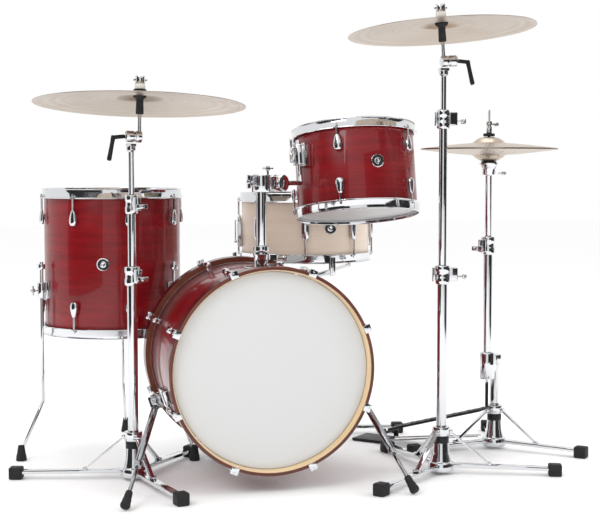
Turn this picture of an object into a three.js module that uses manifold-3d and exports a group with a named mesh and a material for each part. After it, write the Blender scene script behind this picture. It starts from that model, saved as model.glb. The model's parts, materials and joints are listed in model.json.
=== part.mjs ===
// A four-piece acoustic drum kit: 18 inch bass drum with a 12 inch rack tom on a post, 14 inch floor tom
// on legs, 14 inch snare on a basket stand, ride and crash cymbals on flat-base stands, a hi-hat with its
// pedal, and a bass drum pedal. Millimetres, +Z up, the audience looks along +Y.
import * as THREE from 'three';
import { mergeVertices } from 'three/addons/utils/BufferGeometryUtils.js';
import Module from 'manifold-3d';

const wasm = await Module();
wasm.setup();

// ---- driving dimensions -------------------------------------------------------------------------------
const GAP = 0.35;                 // clearance between pieces that rest on or inside each other
const TURN = Math.PI / 180;

const BASS = { radius: 228.6, depth: 356, wall: 7.5, sides: 32, hoopOuter: 244, claws: 8,
  centre: [0, 200, 284] };
const RACK_TOM = { radius: 152.4, depth: 203, wall: 6.5, sides: 24, lugs: 5, firstLug: -122,
  centre: [291, 305, 742], leanBack: 9.9, leanLeft: 0.6 };
const FLOOR_TOM = { radius: 177.8, depth: 356, wall: 6.5, sides: 24, lugs: 8, firstLug: -129,
  centre: [-297, 581, 511] };
const SNARE = { radius: 177.8, depth: 165, wall: 7, sides: 24, lugs: 8, firstLug: -60,
  centre: [254, 661, 592] };
const HOOP = { reach: 12, rise: 12, drop: 13, sheet: 2.5 };      // flanged steel hoop round a shell

// cymbalHeight is the top of the bell; the lever is left (-1) or right (1) of the tilter.
const RIDE_STAND = { at: [-295, 226], legs: [163.7, 283.7, 51], legReach: 306, lowerTop: 518,
  middleTop: 690, rodTop: 808, tilterHeight: 828, tilterShift: 20, lever: -1, cymbalHeight: 936,
  leanBack: 4, leanRight: 1.9 };
const CRASH_STAND = { at: [448, 93.2], legs: [219.6, 339.6, 99.6], legReach: 298, lowerTop: 516,
  middleTop: 895, rodTop: 992, tilterHeight: 1012, tilterShift: 0, lever: 1, cymbalHeight: 1113,
  leanBack: 3.7, leanRight: -2.7 };
const HI_HAT = { axis: [648, 282], hub: [696, 342], legs: [-45, 72, 188], legReach: 262, plane: 805,
  seat: 768, heel: [455, 490, 32], toeHeight: 130 };
const SNARE_STAND = { at: [254, 661], legs: [-10, 110, 230], legReach: 284, arms: [-84, 36, 156] };
const TOM_POST = { at: [3, 140], radius: 12.7, top: 738 };
const KICK = { x: -12, postY: 445, axle: 250, axleRadius: 6, heelY: 706, shaft: 150, restLean: 38 };

// ---- colours ------------------------------------------------------------------------------------------
const finish = (color, roughness, metalness) =>
  new THREE.MeshStandardMaterial({ color, roughness, metalness });
const FINISH = {
  cherry: finish('#a3131a', 0.18, 0), hoopWood: finish('#8a4a2c', 0.3, 0), maple: finish('#dcc6a0', 0.4, 0),
  head: finish('#eef0ef', 0.45, 0), chrome: finish('#d3d6da', 0.12, 1), steel: finish('#a7abb0', 0.3, 1),
  bronze: finish('#c4a888', 0.32, 0.9), black: finish('#202124', 0.45, 0.2),
};

// ---- geometry helpers ---------------------------------------------------------------------------------
const UP = new THREE.Vector3(0, 0, 1);
const polar = (radius, degrees, z = 0) =>
  [radius * Math.cos(degrees * TURN), radius * Math.sin(degrees * TURN), z];

function solid(geometry) {
  const source = geometry.index ? geometry.toNonIndexed() : geometry;
  const bare = new THREE.BufferGeometry().setAttribute('position', source.getAttribute('position'));
  const merged = mergeVertices(bare, 1e-4);
  return new wasm.Manifold(new wasm.Mesh({ numProp: 3,
    vertProperties: Float32Array.from(merged.attributes.position.array),
    triVerts: Uint32Array.from(merged.index.array) }));
}

function surface(made) {
  const mesh = made.getMesh();
  const geometry = new THREE.BufferGeometry();
  geometry.setAttribute('position', new THREE.BufferAttribute(mesh.vertProperties, 3));
  geometry.setIndex(new THREE.BufferAttribute(mesh.triVerts, 1));
  return geometry.toNonIndexed();
}

const join = (...pieces) => surface(pieces.map(solid).reduce((all, piece) => all.add(piece)));
const cut = (piece, ...tools) =>
  surface(tools.map(solid).reduce((left, tool) => left.subtract(tool), solid(piece)));

// A turned piece about Z from [radius, height] points, from axis to axis or closed on itself.
function turned(points, sides = 10) {
  const profile = points.map(([r, z]) => new THREE.Vector2(r, z));
  if (THREE.ShapeUtils.area(profile) < 0) profile.reverse();
  return new THREE.LatheGeometry(profile, sides).rotateX(Math.PI / 2);
}
const disc = (radius, low, high, sides = 10) =>
  turned([[0, low], [radius, low], [radius, high], [0, high]], sides);
const ring = (inner, outer, low, high, sides = 32) =>
  turned([[inner, low], [outer, low], [outer, high], [inner, high], [inner, low]], sides);
const block = (x, y, z, at = [0, 0, 0]) => new THREE.BoxGeometry(x, y, z).translate(...at);

// Builds a piece up +Z with the run's length, then lays it from one point to another, its X kept level.
function between(from, to, build) {
  const start = new THREE.Vector3(...from);
  const run = new THREE.Vector3(...to).sub(start);
  const length = run.length();
  const along = run.normalize();
  const side = Math.abs(along.z) > 0.999 ? new THREE.Vector3(1, 0, 0)
    : new THREE.Vector3().crossVectors(UP, along).normalize();
  const over = new THREE.Vector3().crossVectors(along, side);
  return build(length).applyMatrix4(new THREE.Matrix4().makeBasis(side, over, along).setPosition(start));
}
const rod = (from, to, radius, sides = 10) =>
  between(from, to, (length) => disc(radius, 0, length, sides));
const bar = (from, to, width, thick) =>
  between(from, to, (length) => block(width, thick, length, [0, 0, length / 2]));
const shift = (geometry, x, y, z) => geometry.translate(x, y, z);
const turnZ = (geometry, degrees) => geometry.rotateZ(degrees * TURN);

function put(parent, name, geometry, material) {
  const mesh = new THREE.Mesh(geometry, material);
  mesh.name = name;
  geometry.computeVertexNormals();
  parent.add(mesh);
  return mesh;
}
function station(parent, [x, y, z]) {
  const group = new THREE.Group();
  group.position.set(x, y, z);
  parent.add(group);
  return group;
}

// ---- drums --------------------------------------------------------------------------------------------
// A lug is a round-ended casting that stands on the shell and takes one tension rod.
const LUG = { width: 20, length: 38, stand: 16, sunk: 4, rodOut: 9 };
const TENSION_ROD = 3;
const lugOn = (radius, middle) =>
  shift(block(LUG.stand + LUG.sunk, LUG.width, LUG.length),
    radius + (LUG.stand - LUG.sunk) / 2, 0, middle);

function shellGeometry({ radius, depth, wall, sides, lugs, firstLug }, lugInset, extras = []) {
  const pieces = [ring(radius - wall, radius, -depth / 2, depth / 2, sides)];
  for (let i = 0; i < lugs; i++) {
    for (const end of [-1, 1]) {
      pieces.push(turnZ(lugOn(radius, end * (depth / 2 - lugInset)), firstLug + (360 / lugs) * i));
    }
  }
  return join(...pieces, ...extras);
}

// The head is a skin over the bearing edge with a collar round the shell.
const HEAD = { film: 1.2, collar: 9, collarOut: 1.7 };
function headGeometry({ radius, depth, sides }) {
  const edge = depth / 2 + GAP;
  const inner = radius + GAP;
  const outer = radius + HEAD.collarOut;
  return turned([[0, edge], [inner, edge], [inner, edge - HEAD.collar], [outer, edge - HEAD.collar],
    [outer, edge + HEAD.film], [0, edge + HEAD.film]], sides);
}

// The steel hoop presses on the head, and its flange carries the tension rods down to the lugs.
function hoopGeometry({ radius, depth, sides, lugs, firstLug }, lugInset) {
  const edge = depth / 2 + GAP;
  const inner = radius + HEAD.collarOut + GAP + 0.05;
  const flange = edge - HOOP.drop;
  const pieces = [turned([
    [inner, flange], [radius + HOOP.reach, flange], [radius + HOOP.reach, flange + HOOP.sheet],
    [inner + HOOP.sheet, flange + HOOP.sheet], [inner + HOOP.sheet, edge + HOOP.rise],
    [inner, edge + HOOP.rise], [inner, flange]], sides)];
  const lugTop = depth / 2 - lugInset + LUG.length / 2 + GAP;
  for (let i = 0; i < lugs; i++) {
    pieces.push(turnZ(rod([radius + LUG.rodOut, 0, lugTop], [radius + LUG.rodOut, 0, flange + 1.5],
      TENSION_ROD, 5), firstLug + (360 / lugs) * i));
  }
  return join(...pieces);
}
const flipped = (geometry) => geometry.rotateX(Math.PI);

function addDrum(parent, name, size, lugInset, wood, extras = []) {
  put(parent, `${name}_shell`, shellGeometry(size, lugInset, extras), wood);
  put(parent, `${name}_top_hoop`, hoopGeometry(size, lugInset), FINISH.chrome);
  put(parent, `${name}_top_head`, headGeometry(size), FINISH.head);
  const under = { ...size, firstLug: -size.firstLug };
  put(parent, `${name}_bottom_hoop`, flipped(hoopGeometry(under, lugInset)), FINISH.chrome);
  put(parent, `${name}_bottom_head`, flipped(headGeometry(under)), FINISH.head);
}

// ---- flat-base stand pieces ---------------------------------------------------------------------------
const LEG = { width: 22, thick: 9, hubHeight: 22, footHeight: 17, foot: [30, 48, 30], strutReach: 120 };
const HUB = { low: 8, shoulder: 34, neck: 96, collar: 118, foot: 32, waist: 19 };

function flatBase(legs, reach, tubeRadius) {
  const bore = tubeRadius + GAP;
  const pieces = [turned([
    [bore, HUB.low], [HUB.foot, HUB.low], [HUB.foot, HUB.shoulder], [HUB.waist, HUB.neck],
    [HUB.waist + 3, HUB.neck], [HUB.waist + 3, HUB.collar], [bore, HUB.collar], [bore, HUB.low]], 10)];
  for (const angle of legs) {
    const root = polar(bore + 8, angle, LEG.hubHeight);
    const tip = polar(reach - LEG.foot[1] / 2, angle, LEG.footHeight);
    const knee = polar(LEG.strutReach, angle, LEG.hubHeight);
    pieces.push(bar(root, tip, LEG.width, LEG.thick));
    pieces.push(turnZ(block(LEG.foot[1], LEG.foot[0], LEG.foot[2],
      [reach - LEG.foot[1] / 2, 0, LEG.foot[2] / 2]), angle));
    pieces.push(bar(polar(bore + 6, angle, HUB.neck + 12), knee, 14, 5));
  }
  return join(...pieces);
}

// A tube with the split clamp at its top, which grips the next tube up, and the clamp's wing screw.
const CLAMP = { collar: 44, wall: 6, ear: [26, 16, 34], earOut: 9, screw: 3, screwReach: 38,
  wing: [3, 30, 12] };
function clampedTube(low, high, inner, outer, wingAngle) {
  const grip = outer + CLAMP.wall;
  const middle = high - CLAMP.collar / 2;
  const screwLine = middle - 6;
  return join(
    turned([[inner, low], [outer, low], [outer, high - CLAMP.collar], [grip, high - CLAMP.collar],
      [grip, high], [inner, high], [inner, low]], 10),
    turnZ(block(...CLAMP.ear, [grip + CLAMP.earOut, 0, middle]), wingAngle),
    turnZ(rod([grip + 18, 0, screwLine], [grip + CLAMP.screwReach, 0, screwLine], CLAMP.screw, 8),
      wingAngle),
    turnZ(block(...CLAMP.wing, [grip + CLAMP.screwReach - 2, 0, screwLine]), wingAngle),
  );
}

// ---- cymbals ------------------------------------------------------------------------------------------
// Profile of a cymbal from its bell to its edge, thin and bowed, hole left open for the rod.
function cymbalGeometry(radius, rise, bell, hole = 5.5, thick = 1.6, sides = 24) {
  const bellRadius = radius * 0.235;
  const upper = [[hole, rise + bell], [bellRadius * 0.6, rise + bell * 0.85], [bellRadius, rise],
    [radius * 0.62, rise * 0.55], [radius, 0]];
  const lower = upper.map(([r, z]) => [r, z - thick]).reverse();
  return turned([...upper, ...lower, upper[0]], sides);
}

const kit = new THREE.Group();
const bench = station(kit, [0, 0, 0]);

// ---- bass drum ----------------------------------------------------------------------------------------
const bass = station(bench, BASS.centre);
bass.rotation.x = Math.PI / 2;               // local Z faces the audience, local Y is up
const bassHalf = BASS.depth / 2;
const POST_ROOM = 2.5;                        // the hole in the shell is this much wider than the post
const bassLug = { inset: 62, length: 44, stand: 26, width: 18 };
const clawAngle = (i) => 360 / BASS.claws * (i + 0.5);
const SPUR = { y: 144, angle: 18, stand: 34, footLeft: [-360, -82], footRight: [312, -108] };
const spurKnuckle = (side) => {
  const reach = BASS.radius + SPUR.stand;
  return [side * reach * Math.cos(SPUR.angle * TURN), SPUR.y,
    BASS.centre[2] - reach * Math.sin(SPUR.angle * TURN)];
};

const bassPieces = [ring(BASS.radius - BASS.wall, BASS.radius, -bassHalf, bassHalf, BASS.sides)];
for (let i = 0; i < BASS.claws; i++) {
  for (const end of [-1, 1]) {
    bassPieces.push(turnZ(block(bassLug.stand + 4, bassLug.width, bassLug.length,
      [BASS.radius + bassLug.stand / 2 - 2, 0, end * (bassHalf - bassLug.inset)]), clawAngle(i)));
  }
}
for (const side of [-1, 1]) {
  const face = side > 0 ? -SPUR.angle : 180 + SPUR.angle;
  bassPieces.push(turnZ(block(SPUR.stand - 11, 46, 62,
    [BASS.radius + (SPUR.stand - 11) / 2 - 4, 0, BASS.centre[1] - SPUR.y]), face));
}
const postHole = between([TOM_POST.at[0], BASS.radius - 40, BASS.centre[1] - TOM_POST.at[1]],
  [TOM_POST.at[0], BASS.radius + 20, BASS.centre[1] - TOM_POST.at[1]],
  (length) => disc(TOM_POST.radius + POST_ROOM, 0, length, 12));
put(bass, 'bass_shell', cut(join(...bassPieces), postHole), FINISH.cherry);

const bassHead = turned([
  [0, bassHalf + GAP], [BASS.radius + GAP, bassHalf + GAP], [BASS.radius + GAP, bassHalf - 14],
  [BASS.radius + 1.8, bassHalf - 14], [BASS.radius + 1.8, bassHalf + 2], [0, bassHalf + 2]], BASS.sides);
const hoopLow = bassHalf - 17 + GAP;
const hoopHigh = BASS.centre[1];
const clawFace = 4;
const bassHoop = [ring(BASS.radius + 2.4, BASS.hoopOuter, hoopLow, hoopHigh, BASS.sides)];
const clawRodLow = bassHalf - bassLug.inset + bassLug.length / 2 + GAP;
for (let i = 0; i < BASS.claws; i++) {
  bassHoop.push(turnZ(block(18, 20, 28, [BASS.hoopOuter, 0, hoopHigh + clawFace - 14]),
    clawAngle(i)));
  bassHoop.push(turnZ(rod([BASS.hoopOuter + 5, 0, clawRodLow], [BASS.hoopOuter + 5, 0, hoopHigh - 20],
    TENSION_ROD, 5), clawAngle(i)));
}
const bassHoopGeometry = join(...bassHoop);
put(bass, 'bass_front_hoop', bassHoopGeometry, FINISH.hoopWood);
put(bass, 'bass_front_head', bassHead, FINISH.head);
put(bass, 'bass_rear_hoop', flipped(bassHoopGeometry.clone()), FINISH.hoopWood);
put(bass, 'bass_rear_head', flipped(bassHead.clone()), FINISH.head);

// Spurs: a knuckle, an outer tube, a thin inner rod and a rubber foot, each one folding leg.
function spur(side, [footX, footY]) {
  const knuckle = new THREE.Vector3(...spurKnuckle(side));
  const foot = new THREE.Vector3(footX, footY, 8);
  const at = (t) => knuckle.clone().lerp(foot, t).toArray();
  const outward = new THREE.Vector3(side * Math.cos(SPUR.angle * TURN), 0, -Math.sin(SPUR.angle * TURN));
  const hubEnd = (out) => knuckle.clone().addScaledVector(outward, out).toArray();
  return join(
    rod(hubEnd(-13), hubEnd(15), 19), rod(at(0), at(0.62), 8.5), rod(at(0.6), at(0.95), 5),
    between(at(0.86), at(1), (length) =>
      turned([[0, 0], [8, 0], [13, length * 0.85], [10, length], [0, length]])));
}
put(bench, 'spur_left', spur(-1, SPUR.footLeft), FINISH.chrome);
put(bench, 'spur_right', spur(1, SPUR.footRight), FINISH.chrome);

// ---- tom mount ----------------------------------------------------------------------------------------
const shellTop = BASS.centre[2] + BASS.radius;
const mount = station(bench, [...TOM_POST.at, 0]);
const socketTop = shellTop + 40;
const socket = cut(
  join(block(74, 74, 14, [0, 0, shellTop + 3]), disc(19, shellTop - 2, socketTop, 10),
    block(26, 18, 26, [26, 0, shellTop + 24]), rod([36, 0, shellTop + 24], [62, 0, shellTop + 24], 4, 8),
    block(6, 30, 12, [60, 0, shellTop + 24])),
  disc(TOM_POST.radius + GAP, shellTop - 20, socketTop + 5, 10),
  between([-TOM_POST.at[0], -200, BASS.centre[2]], [-TOM_POST.at[0], 200, BASS.centre[2]],
    (length) => disc(BASS.radius + GAP, 0, length, 2 * BASS.sides)),
);
put(mount, 'tom_post_socket', socket, FINISH.chrome);
put(mount, 'tom_post', join(ring(TOM_POST.radius - 2.5, TOM_POST.radius, shellTop + 4, TOM_POST.top, 10),
  ring(TOM_POST.radius - 1, 19, socketTop + GAP, socketTop + 16, 10)), FINISH.chrome);

// ---- rack tom -----------------------------------------------------------------------------------------
const tom = station(bench, RACK_TOM.centre);
tom.rotation.x = -RACK_TOM.leanBack * TURN;
tom.rotation.y = -RACK_TOM.leanLeft * TURN;
tom.updateMatrix();
const SOCKET = { angle: 200, out: 22, low: 6, high: 66, rodRadius: 6 };
const socketLine = RACK_TOM.radius + SOCKET.out;
const tomBracket = turnZ(cut(
  join(
    block(30, 40, SOCKET.high - SOCKET.low, [RACK_TOM.radius + 11, 0, (SOCKET.high + SOCKET.low) / 2]),
    block(26, 30, SOCKET.high - SOCKET.low - 14, [socketLine + 4, 0, (SOCKET.high + SOCKET.low) / 2])),
  shift(disc(SOCKET.rodRadius + 3 * GAP, -120, 120, 8), socketLine, 0, 0)), SOCKET.angle);
addDrum(tom, 'rack_tom', RACK_TOM, 48, FINISH.cherry, [tomBracket]);

// The arm clamp sits on the post and carries the ratchet barrel, on which the L-shaped arm tilts. The arm's
// upright end runs up through the bracket on the shell.
const onTom = (height) => new THREE.Vector3(...polar(socketLine, SOCKET.angle, height)).applyMatrix4(tom.matrix);
const elbow = onTom(-34);
const ARM = { height: elbow.z, barrel: 66,
  yaw: Math.atan2(elbow.y - TOM_POST.at[1], elbow.x - TOM_POST.at[0]) };
const arm = station(mount, [0, 0, ARM.height]);
arm.rotation.z = ARM.yaw;
const clampBore = TOM_POST.radius / Math.cos(Math.PI / 10) + GAP;
const clampBlock = cut(join(
  block(46, 44, 44), block(28, 34, 34, [30, 0, 0]), block(20, 26, 26, [-28, 0, 6]),
  rod([-30, 0, 6], [-48, 0, 6], 4, 8), block(4, 14, 34, [-48, 0, 4]),
  rod([26, 0, 10], [26, 0, 36], 4, 8), block(30, 8, 4, [26, 0, 36])), disc(clampBore, -40, 40));
put(arm, 'tom_arm_clamp', clampBlock, FINISH.chrome);
const facing = [Math.cos(ARM.yaw), Math.sin(ARM.yaw)];
const barrel = [TOM_POST.at[0] + ARM.barrel * facing[0], TOM_POST.at[1] + ARM.barrel * facing[1],
  ARM.height];
const acrossBarrel = (side) =>
  [barrel[0] - side * 21 * facing[1], barrel[1] + side * 21 * facing[0], barrel[2]];
put(bench, 'tom_arm', join(
  between(acrossBarrel(-1), acrossBarrel(1), (length) => disc(21, 0, length, 12)),
  rod(barrel, onTom(-34).toArray(), SOCKET.rodRadius, 8),
  rod(onTom(-40).toArray(), onTom(SOCKET.high + 8).toArray(), SOCKET.rodRadius, 8)), FINISH.chrome);

// ---- floor tom ----------------------------------------------------------------------------------------
const floorTom = station(bench, FLOOR_TOM.centre);
const FT_LEG = { angles: [195.5, 315.5, 75.5], radius: 5, out: 20, bracket: -72, top: 2, bend: 150,
  footReach: 258 };
const legLine = FLOOR_TOM.radius + FT_LEG.out;
const brackets = FT_LEG.angles.map((angle) => turnZ(cut(
  join(block(20, 30, 46, [FLOOR_TOM.radius + 6, 0, FT_LEG.bracket]),
    block(22, 24, 40, [legLine, 0, FT_LEG.bracket])),
  shift(disc(FT_LEG.radius + GAP, -60, 60, 10), legLine, 0, FT_LEG.bracket)), angle));
addDrum(floorTom, 'floor_tom', FLOOR_TOM, 62, FINISH.cherry, brackets);
const floor = -FLOOR_TOM.centre[2];
FT_LEG.angles.forEach((angle, i) => {
  const bend = [legLine, 0, floor + FT_LEG.bend];
  const foot = [FT_LEG.footReach, 0, floor + 24];
  put(floorTom, `floor_tom_leg_${i + 1}`, turnZ(join(
    rod([legLine, 0, FT_LEG.top], bend, FT_LEG.radius, 10),
    rod([legLine, 0, floor + FT_LEG.bend + 2], foot, FT_LEG.radius, 10),
    shift(turned([[0, 0], [14, 0], [14, 12], [9, 40], [0, 40]], 8), FT_LEG.footReach, 0, floor)), angle),
  FINISH.chrome);
});

// ---- snare drum ---------------------------------------------------------------------------------------
const snare = station(bench, SNARE.centre);
const STRAINER = { angle: 172, out: 14 };
const strainerBody = turnZ(block(STRAINER.out + 4, 24, 70, [SNARE.radius + STRAINER.out / 2 - 2, 0, -22]),
  STRAINER.angle);
const buttPlate = turnZ(block(14, 22, 30, [SNARE.radius + 4, 0, -40]), STRAINER.angle + 180);
addDrum(snare, 'snare', SNARE, 46, FINISH.maple, [strainerBody, buttPlate]);
const leverGroup = station(snare, polar(SNARE.radius + STRAINER.out + 5, STRAINER.angle, -42));
leverGroup.rotation.z = STRAINER.angle * TURN;
const wireTop = -SNARE.depth / 2 - GAP - 1.2 - GAP;
put(snare, 'snare_wires', turnZ(join(block(260, 44, 1.2, [0, 0, wireTop - 0.6]),
  block(14, 48, 2.6, [134, 0, wireTop - 1.3]), block(14, 48, 2.6, [-134, 0, wireTop - 1.3])),
STRAINER.angle), FINISH.steel);
put(leverGroup, 'snare_strainer_lever', join(
  rod([0, -13, 0], [0, 13, 0], 4, 8), block(4, 10, 64, [0, 0, 30])), FINISH.chrome);

// ---- snare stand --------------------------------------------------------------------------------------
const snareStand = station(bench, [...SNARE_STAND.at, 0]);
put(snareStand, 'snare_stand_base', flatBase(SNARE_STAND.legs, SNARE_STAND.legReach, 12.5), FINISH.chrome);
put(snareStand, 'snare_stand_lower_tube', clampedTube(12, 330, 10.4, 12.5, 200), FINISH.chrome);
const CRADLE = { hub: 445, arm: 476, reach: 190, grip: 20 };
put(snareStand, 'snare_stand_upper_tube', join(disc(10, 230, 410, 10), block(26, 26, 26, [0, 0, 412]),
  rod([-22, 0, 424], [22, 0, 424], 9)), FINISH.chrome);
const armPieces = SNARE_STAND.arms.flatMap((angle) => [
  bar(polar(8, angle, CRADLE.hub), polar(CRADLE.reach + 18, angle, CRADLE.arm - 4), 14, 8),
  turnZ(block(12, 18, CRADLE.grip * 2 + 16, [CRADLE.reach + 14, 0, CRADLE.arm + CRADLE.grip - 4]), angle)]);
put(snareStand, 'snare_stand_basket', join(disc(24, CRADLE.hub - 11, CRADLE.hub + 11, 10), ...armPieces),
  FINISH.chrome);

// ---- cymbal stands ------------------------------------------------------------------------------------
// The tilter swivels on the top of the upper rod; the cymbal rocks between two felts on the tilter's rod.
// FELT.lower and FELT.upper are the room each side of the bell.
const FELT = { radius: 17, lower: 4.4, upper: 2.4 };
const TILTER = { radius: 14, near: -7, far: 35, lever: 62, handle: 72, handleDrop: 60, rodOver: 41 };
function cymbalStand(name, size, cymbalRadius, rise, bell, wings) {
  const stand = station(bench, [...size.at, 0]);
  put(stand, `${name}_stand_base`, flatBase(size.legs, size.legReach, 12.5), FINISH.chrome);
  put(stand, `${name}_lower_tube`, clampedTube(12, size.lowerTop, 10.4, 12.5, wings[0]), FINISH.chrome);
  put(stand, `${name}_middle_tube`, clampedTube(size.lowerTop - 150, size.middleTop, 7.5, 10, wings[1]),
    FINISH.chrome);
  // The rod's cap ends in a saddle just under the tilter's barrel.
  put(stand, `${name}_upper_rod`, join(disc(7, size.middleTop - 140, size.rodTop, 10),
    disc(12, size.rodTop - 14, size.rodTop, 10), block(24, 20, 9, [0, 0, size.rodTop + 0.5])), FINISH.chrome);
  const tilter = station(stand, [size.tilterShift, 0, size.tilterHeight]);
  tilter.rotation.x = -size.leanBack * TURN;
  tilter.rotation.y = size.leanRight * TURN;
  const seat = size.cymbalHeight - size.tilterHeight;
  const side = size.lever;
  put(tilter, `${name}_tilter`, join(
    rod([side * TILTER.near, 0, 0], [side * TILTER.far, 0, 0], TILTER.radius),
    rod([side * (TILTER.far - 2), 0, 0], [side * TILTER.lever, 0, -4], 5, 8),
    rod([side * TILTER.lever, 0, 0], [side * TILTER.handle, 0, -TILTER.handleDrop], 6, 8),
    disc(5, 0, seat - 14, 8), disc(10, seat - 54, seat - 12, 10),
    disc(FELT.radius, seat - 14, seat - FELT.lower, 10), disc(4, 0, seat + TILTER.rodOver, 8)), FINISH.black);
  const cymbalBase = seat - rise - bell + GAP;
  put(tilter, `${name}_cymbal`, shift(cymbalGeometry(cymbalRadius, rise, bell), 0, 0, cymbalBase),
    FINISH.bronze);
  put(tilter, `${name}_wing_nut`, shift(cut(
    join(disc(FELT.radius, 0, 11, 10), disc(9, 10, 26, 10), block(40, 5, 14, [0, 0, 24])),
    disc(4 + GAP, -5, 60, 8)), 0, 0, seat + FELT.upper), FINISH.black);
}
cymbalStand('ride', RIDE_STAND, 254, 16, 15, [-70, -70]);
cymbalStand('crash', CRASH_STAND, 228.6, 15, 13, [-10, 0]);

// ---- hi-hat -------------------------------------------------------------------------------------------
const hatBase = station(bench, [...HI_HAT.hub, 0]);
put(hatBase, 'hi_hat_base', flatBase(HI_HAT.legs, HI_HAT.legReach, 12.5), FINISH.chrome);
const hat = station(bench, [...HI_HAT.axis, 0]);
const toColumn = [HI_HAT.hub[0] - HI_HAT.axis[0], HI_HAT.hub[1] - HI_HAT.axis[1]];
// The offset casting stands on the base's column and carries the pull-rod tube in front of it.
const CHAIN_BORE = 6.5;
const casting = cut(join(clampedTube(262, 575, 9.4, 12, 215), ring(CHAIN_BORE, 20, 200, 272, 10),
  bar([0, 0, 236], [...toColumn, 236], 26, 40), shift(disc(19, 196, 256, 10), ...toColumn, 0),
  shift(disc(12.5, 12, 200, 10), ...toColumn, 0), block(10, 30, 10, [-20, 0, 214])),
  disc(CHAIN_BORE, 150, 266, 10), disc(9.4, 262, 300, 10));
put(hat, 'hi_hat_column', casting, FINISH.chrome);
const seatTube = join(ring(6.5, 9, 420, 738, 10), ring(6.5, 17, 734, 756, 10),
  turned([[6.5, 754], [20, 754], [26, HI_HAT.seat], [6.5, HI_HAT.seat], [6.5, 754]], 10),
  rod([16, 0, 745], [44, 0, 740], 3, 8), block(3, 24, 10, [42, 0, 740]));
put(hat, 'hi_hat_upper_tube', seatTube, FINISH.chrome);
const HAT = { radius: 177.8, rise: 14, bell: 16 };
const bottomHat = flipped(cymbalGeometry(HAT.radius, HAT.rise, HAT.bell, 6.5));
put(hat, 'hi_hat_bottom_cymbal', shift(bottomHat, 0, 0, HI_HAT.plane - 3.2), FINISH.bronze);
const bellTop = HI_HAT.plane + HAT.rise + HAT.bell;
put(hat, 'hi_hat_top_cymbal',
  shift(cymbalGeometry(HAT.radius, HAT.rise, HAT.bell, 6.5), 0, 0, HI_HAT.plane + 0.5), FINISH.bronze);
put(hat, 'hi_hat_pull_rod', join(disc(3.2, 186, 905, 8), disc(15, bellTop + 1, bellTop + 11, 10),
  disc(8, bellTop + 9, bellTop + 40, 10), block(26, 5, 14, [12, 0, bellTop + 32]),
  block(9, 6, 64, [0, 0, 158])), FINISH.chrome);

// The footboard runs from its heel hinge up to the chain, with side rails and a wide toe.
const toe = [HI_HAT.axis[0], HI_HAT.axis[1], HI_HAT.toeHeight - 16];
const heel = HI_HAT.heel;
const runAngle = Math.atan2(toe[1] - heel[1], toe[0] - heel[0]);
const hatRun = Math.hypot(toe[0] - heel[0], toe[1] - heel[1]);
const heelGroup = station(bench, heel);
heelGroup.rotation.z = runAngle;
const hatRise = toe[2] - heel[2];
const along = (t, lift) => [hatRun * t, 0, hatRise * t + lift];
put(heelGroup, 'hi_hat_footboard', join(bar(along(0.04, 7), along(0.99, 7), 78, 7),
  bar(along(0, 0), along(0.2, 0), 60, 10)), FINISH.black);
const heelPieces = [block(96, 86, 5, [-56, 0, 6 - heel[2] + 2.5]),
  block(16, 6, 34, [-4, 36, -6]), block(16, 6, 34, [-4, -36, -6]), block(14, 86, 12, [-6, 0, 8 - heel[2] + 2.5]),
  block(90, 80, 6, [-56, 0, 3 - heel[2]])];
const railEnd = (side) => new THREE.Vector3(HI_HAT.hub[0] - heel[0], HI_HAT.hub[1] - heel[1], 0)
  .applyAxisAngle(UP, -runAngle).add(new THREE.Vector3(0, side, 0)).toArray();
for (const side of [1, -1]) {
  const end = railEnd(side * 8);
  const stop = 1 - 40 / Math.hypot(end[0], end[1]);
  const far = [end[0] * stop, side * 28 + (end[1] - side * 28) * stop, 36 - heel[2]];
  heelPieces.push(rod([-4, side * 28, 8 - heel[2]], far, 2.5, 6));
}
put(heelGroup, 'hi_hat_heel_plate', join(...heelPieces), FINISH.black);

// ---- bass drum pedal ----------------------------------------------------------------------------------
const kick = station(bench, [KICK.x, 0, 0]);
const axleRod = (half, radius) => rod([-half, KICK.postY, KICK.axle], [half, KICK.postY, KICK.axle], radius);
const kickPosts = [-46, 46].map((x) => join(block(12, 20, KICK.axle - 4, [x, KICK.postY, KICK.axle / 2 + 2]),
  rod([x - 6, KICK.postY, KICK.axle], [x + 6, KICK.postY, KICK.axle], 14)));
const hoopBottom = BASS.centre[2] - BASS.hoopOuter;
put(kick, 'kick_pedal_frame', cut(join(block(104, 20, 14, [0, KICK.postY, 7]), ...kickPosts,
  block(60, KICK.heelY - KICK.postY + 20, 5, [0, (KICK.heelY + KICK.postY) / 2, 2.5]),
  block(78, 80, 6, [0, KICK.heelY + 12, 3]), block(72, 14, 22, [0, KICK.heelY - 2, 11]),
  block(40, 66, 8, [0, KICK.postY - 34, hoopBottom - 8]),
  block(40, 12, 30, [0, KICK.postY - 10, hoopBottom - 18])),
  axleRod(60, KICK.axleRadius + GAP)), FINISH.steel);
const boardHinge = [0, KICK.heelY, 32];
const boardToe = [0, KICK.postY + 12, 112];
put(kick, 'kick_pedal_footboard', join(bar(boardHinge, boardToe, 74, 7),
  rod([-34, KICK.heelY, 30], [34, KICK.heelY, 30], 5.5)), FINISH.black);
const lean = KICK.restLean * TURN;
const beaterTip = [0, KICK.postY + Math.sin(lean) * KICK.shaft, KICK.axle + Math.cos(lean) * KICK.shaft];
put(kick, 'kick_pedal_beater', join(
  axleRod(54, KICK.axleRadius), axleRod(14, 22),
  rod([0, KICK.postY, KICK.axle], beaterTip, 4, 8),
  rod([-18, beaterTip[1], beaterTip[2]], [18, beaterTip[1], beaterTip[2]], 23)), FINISH.steel);

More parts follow.
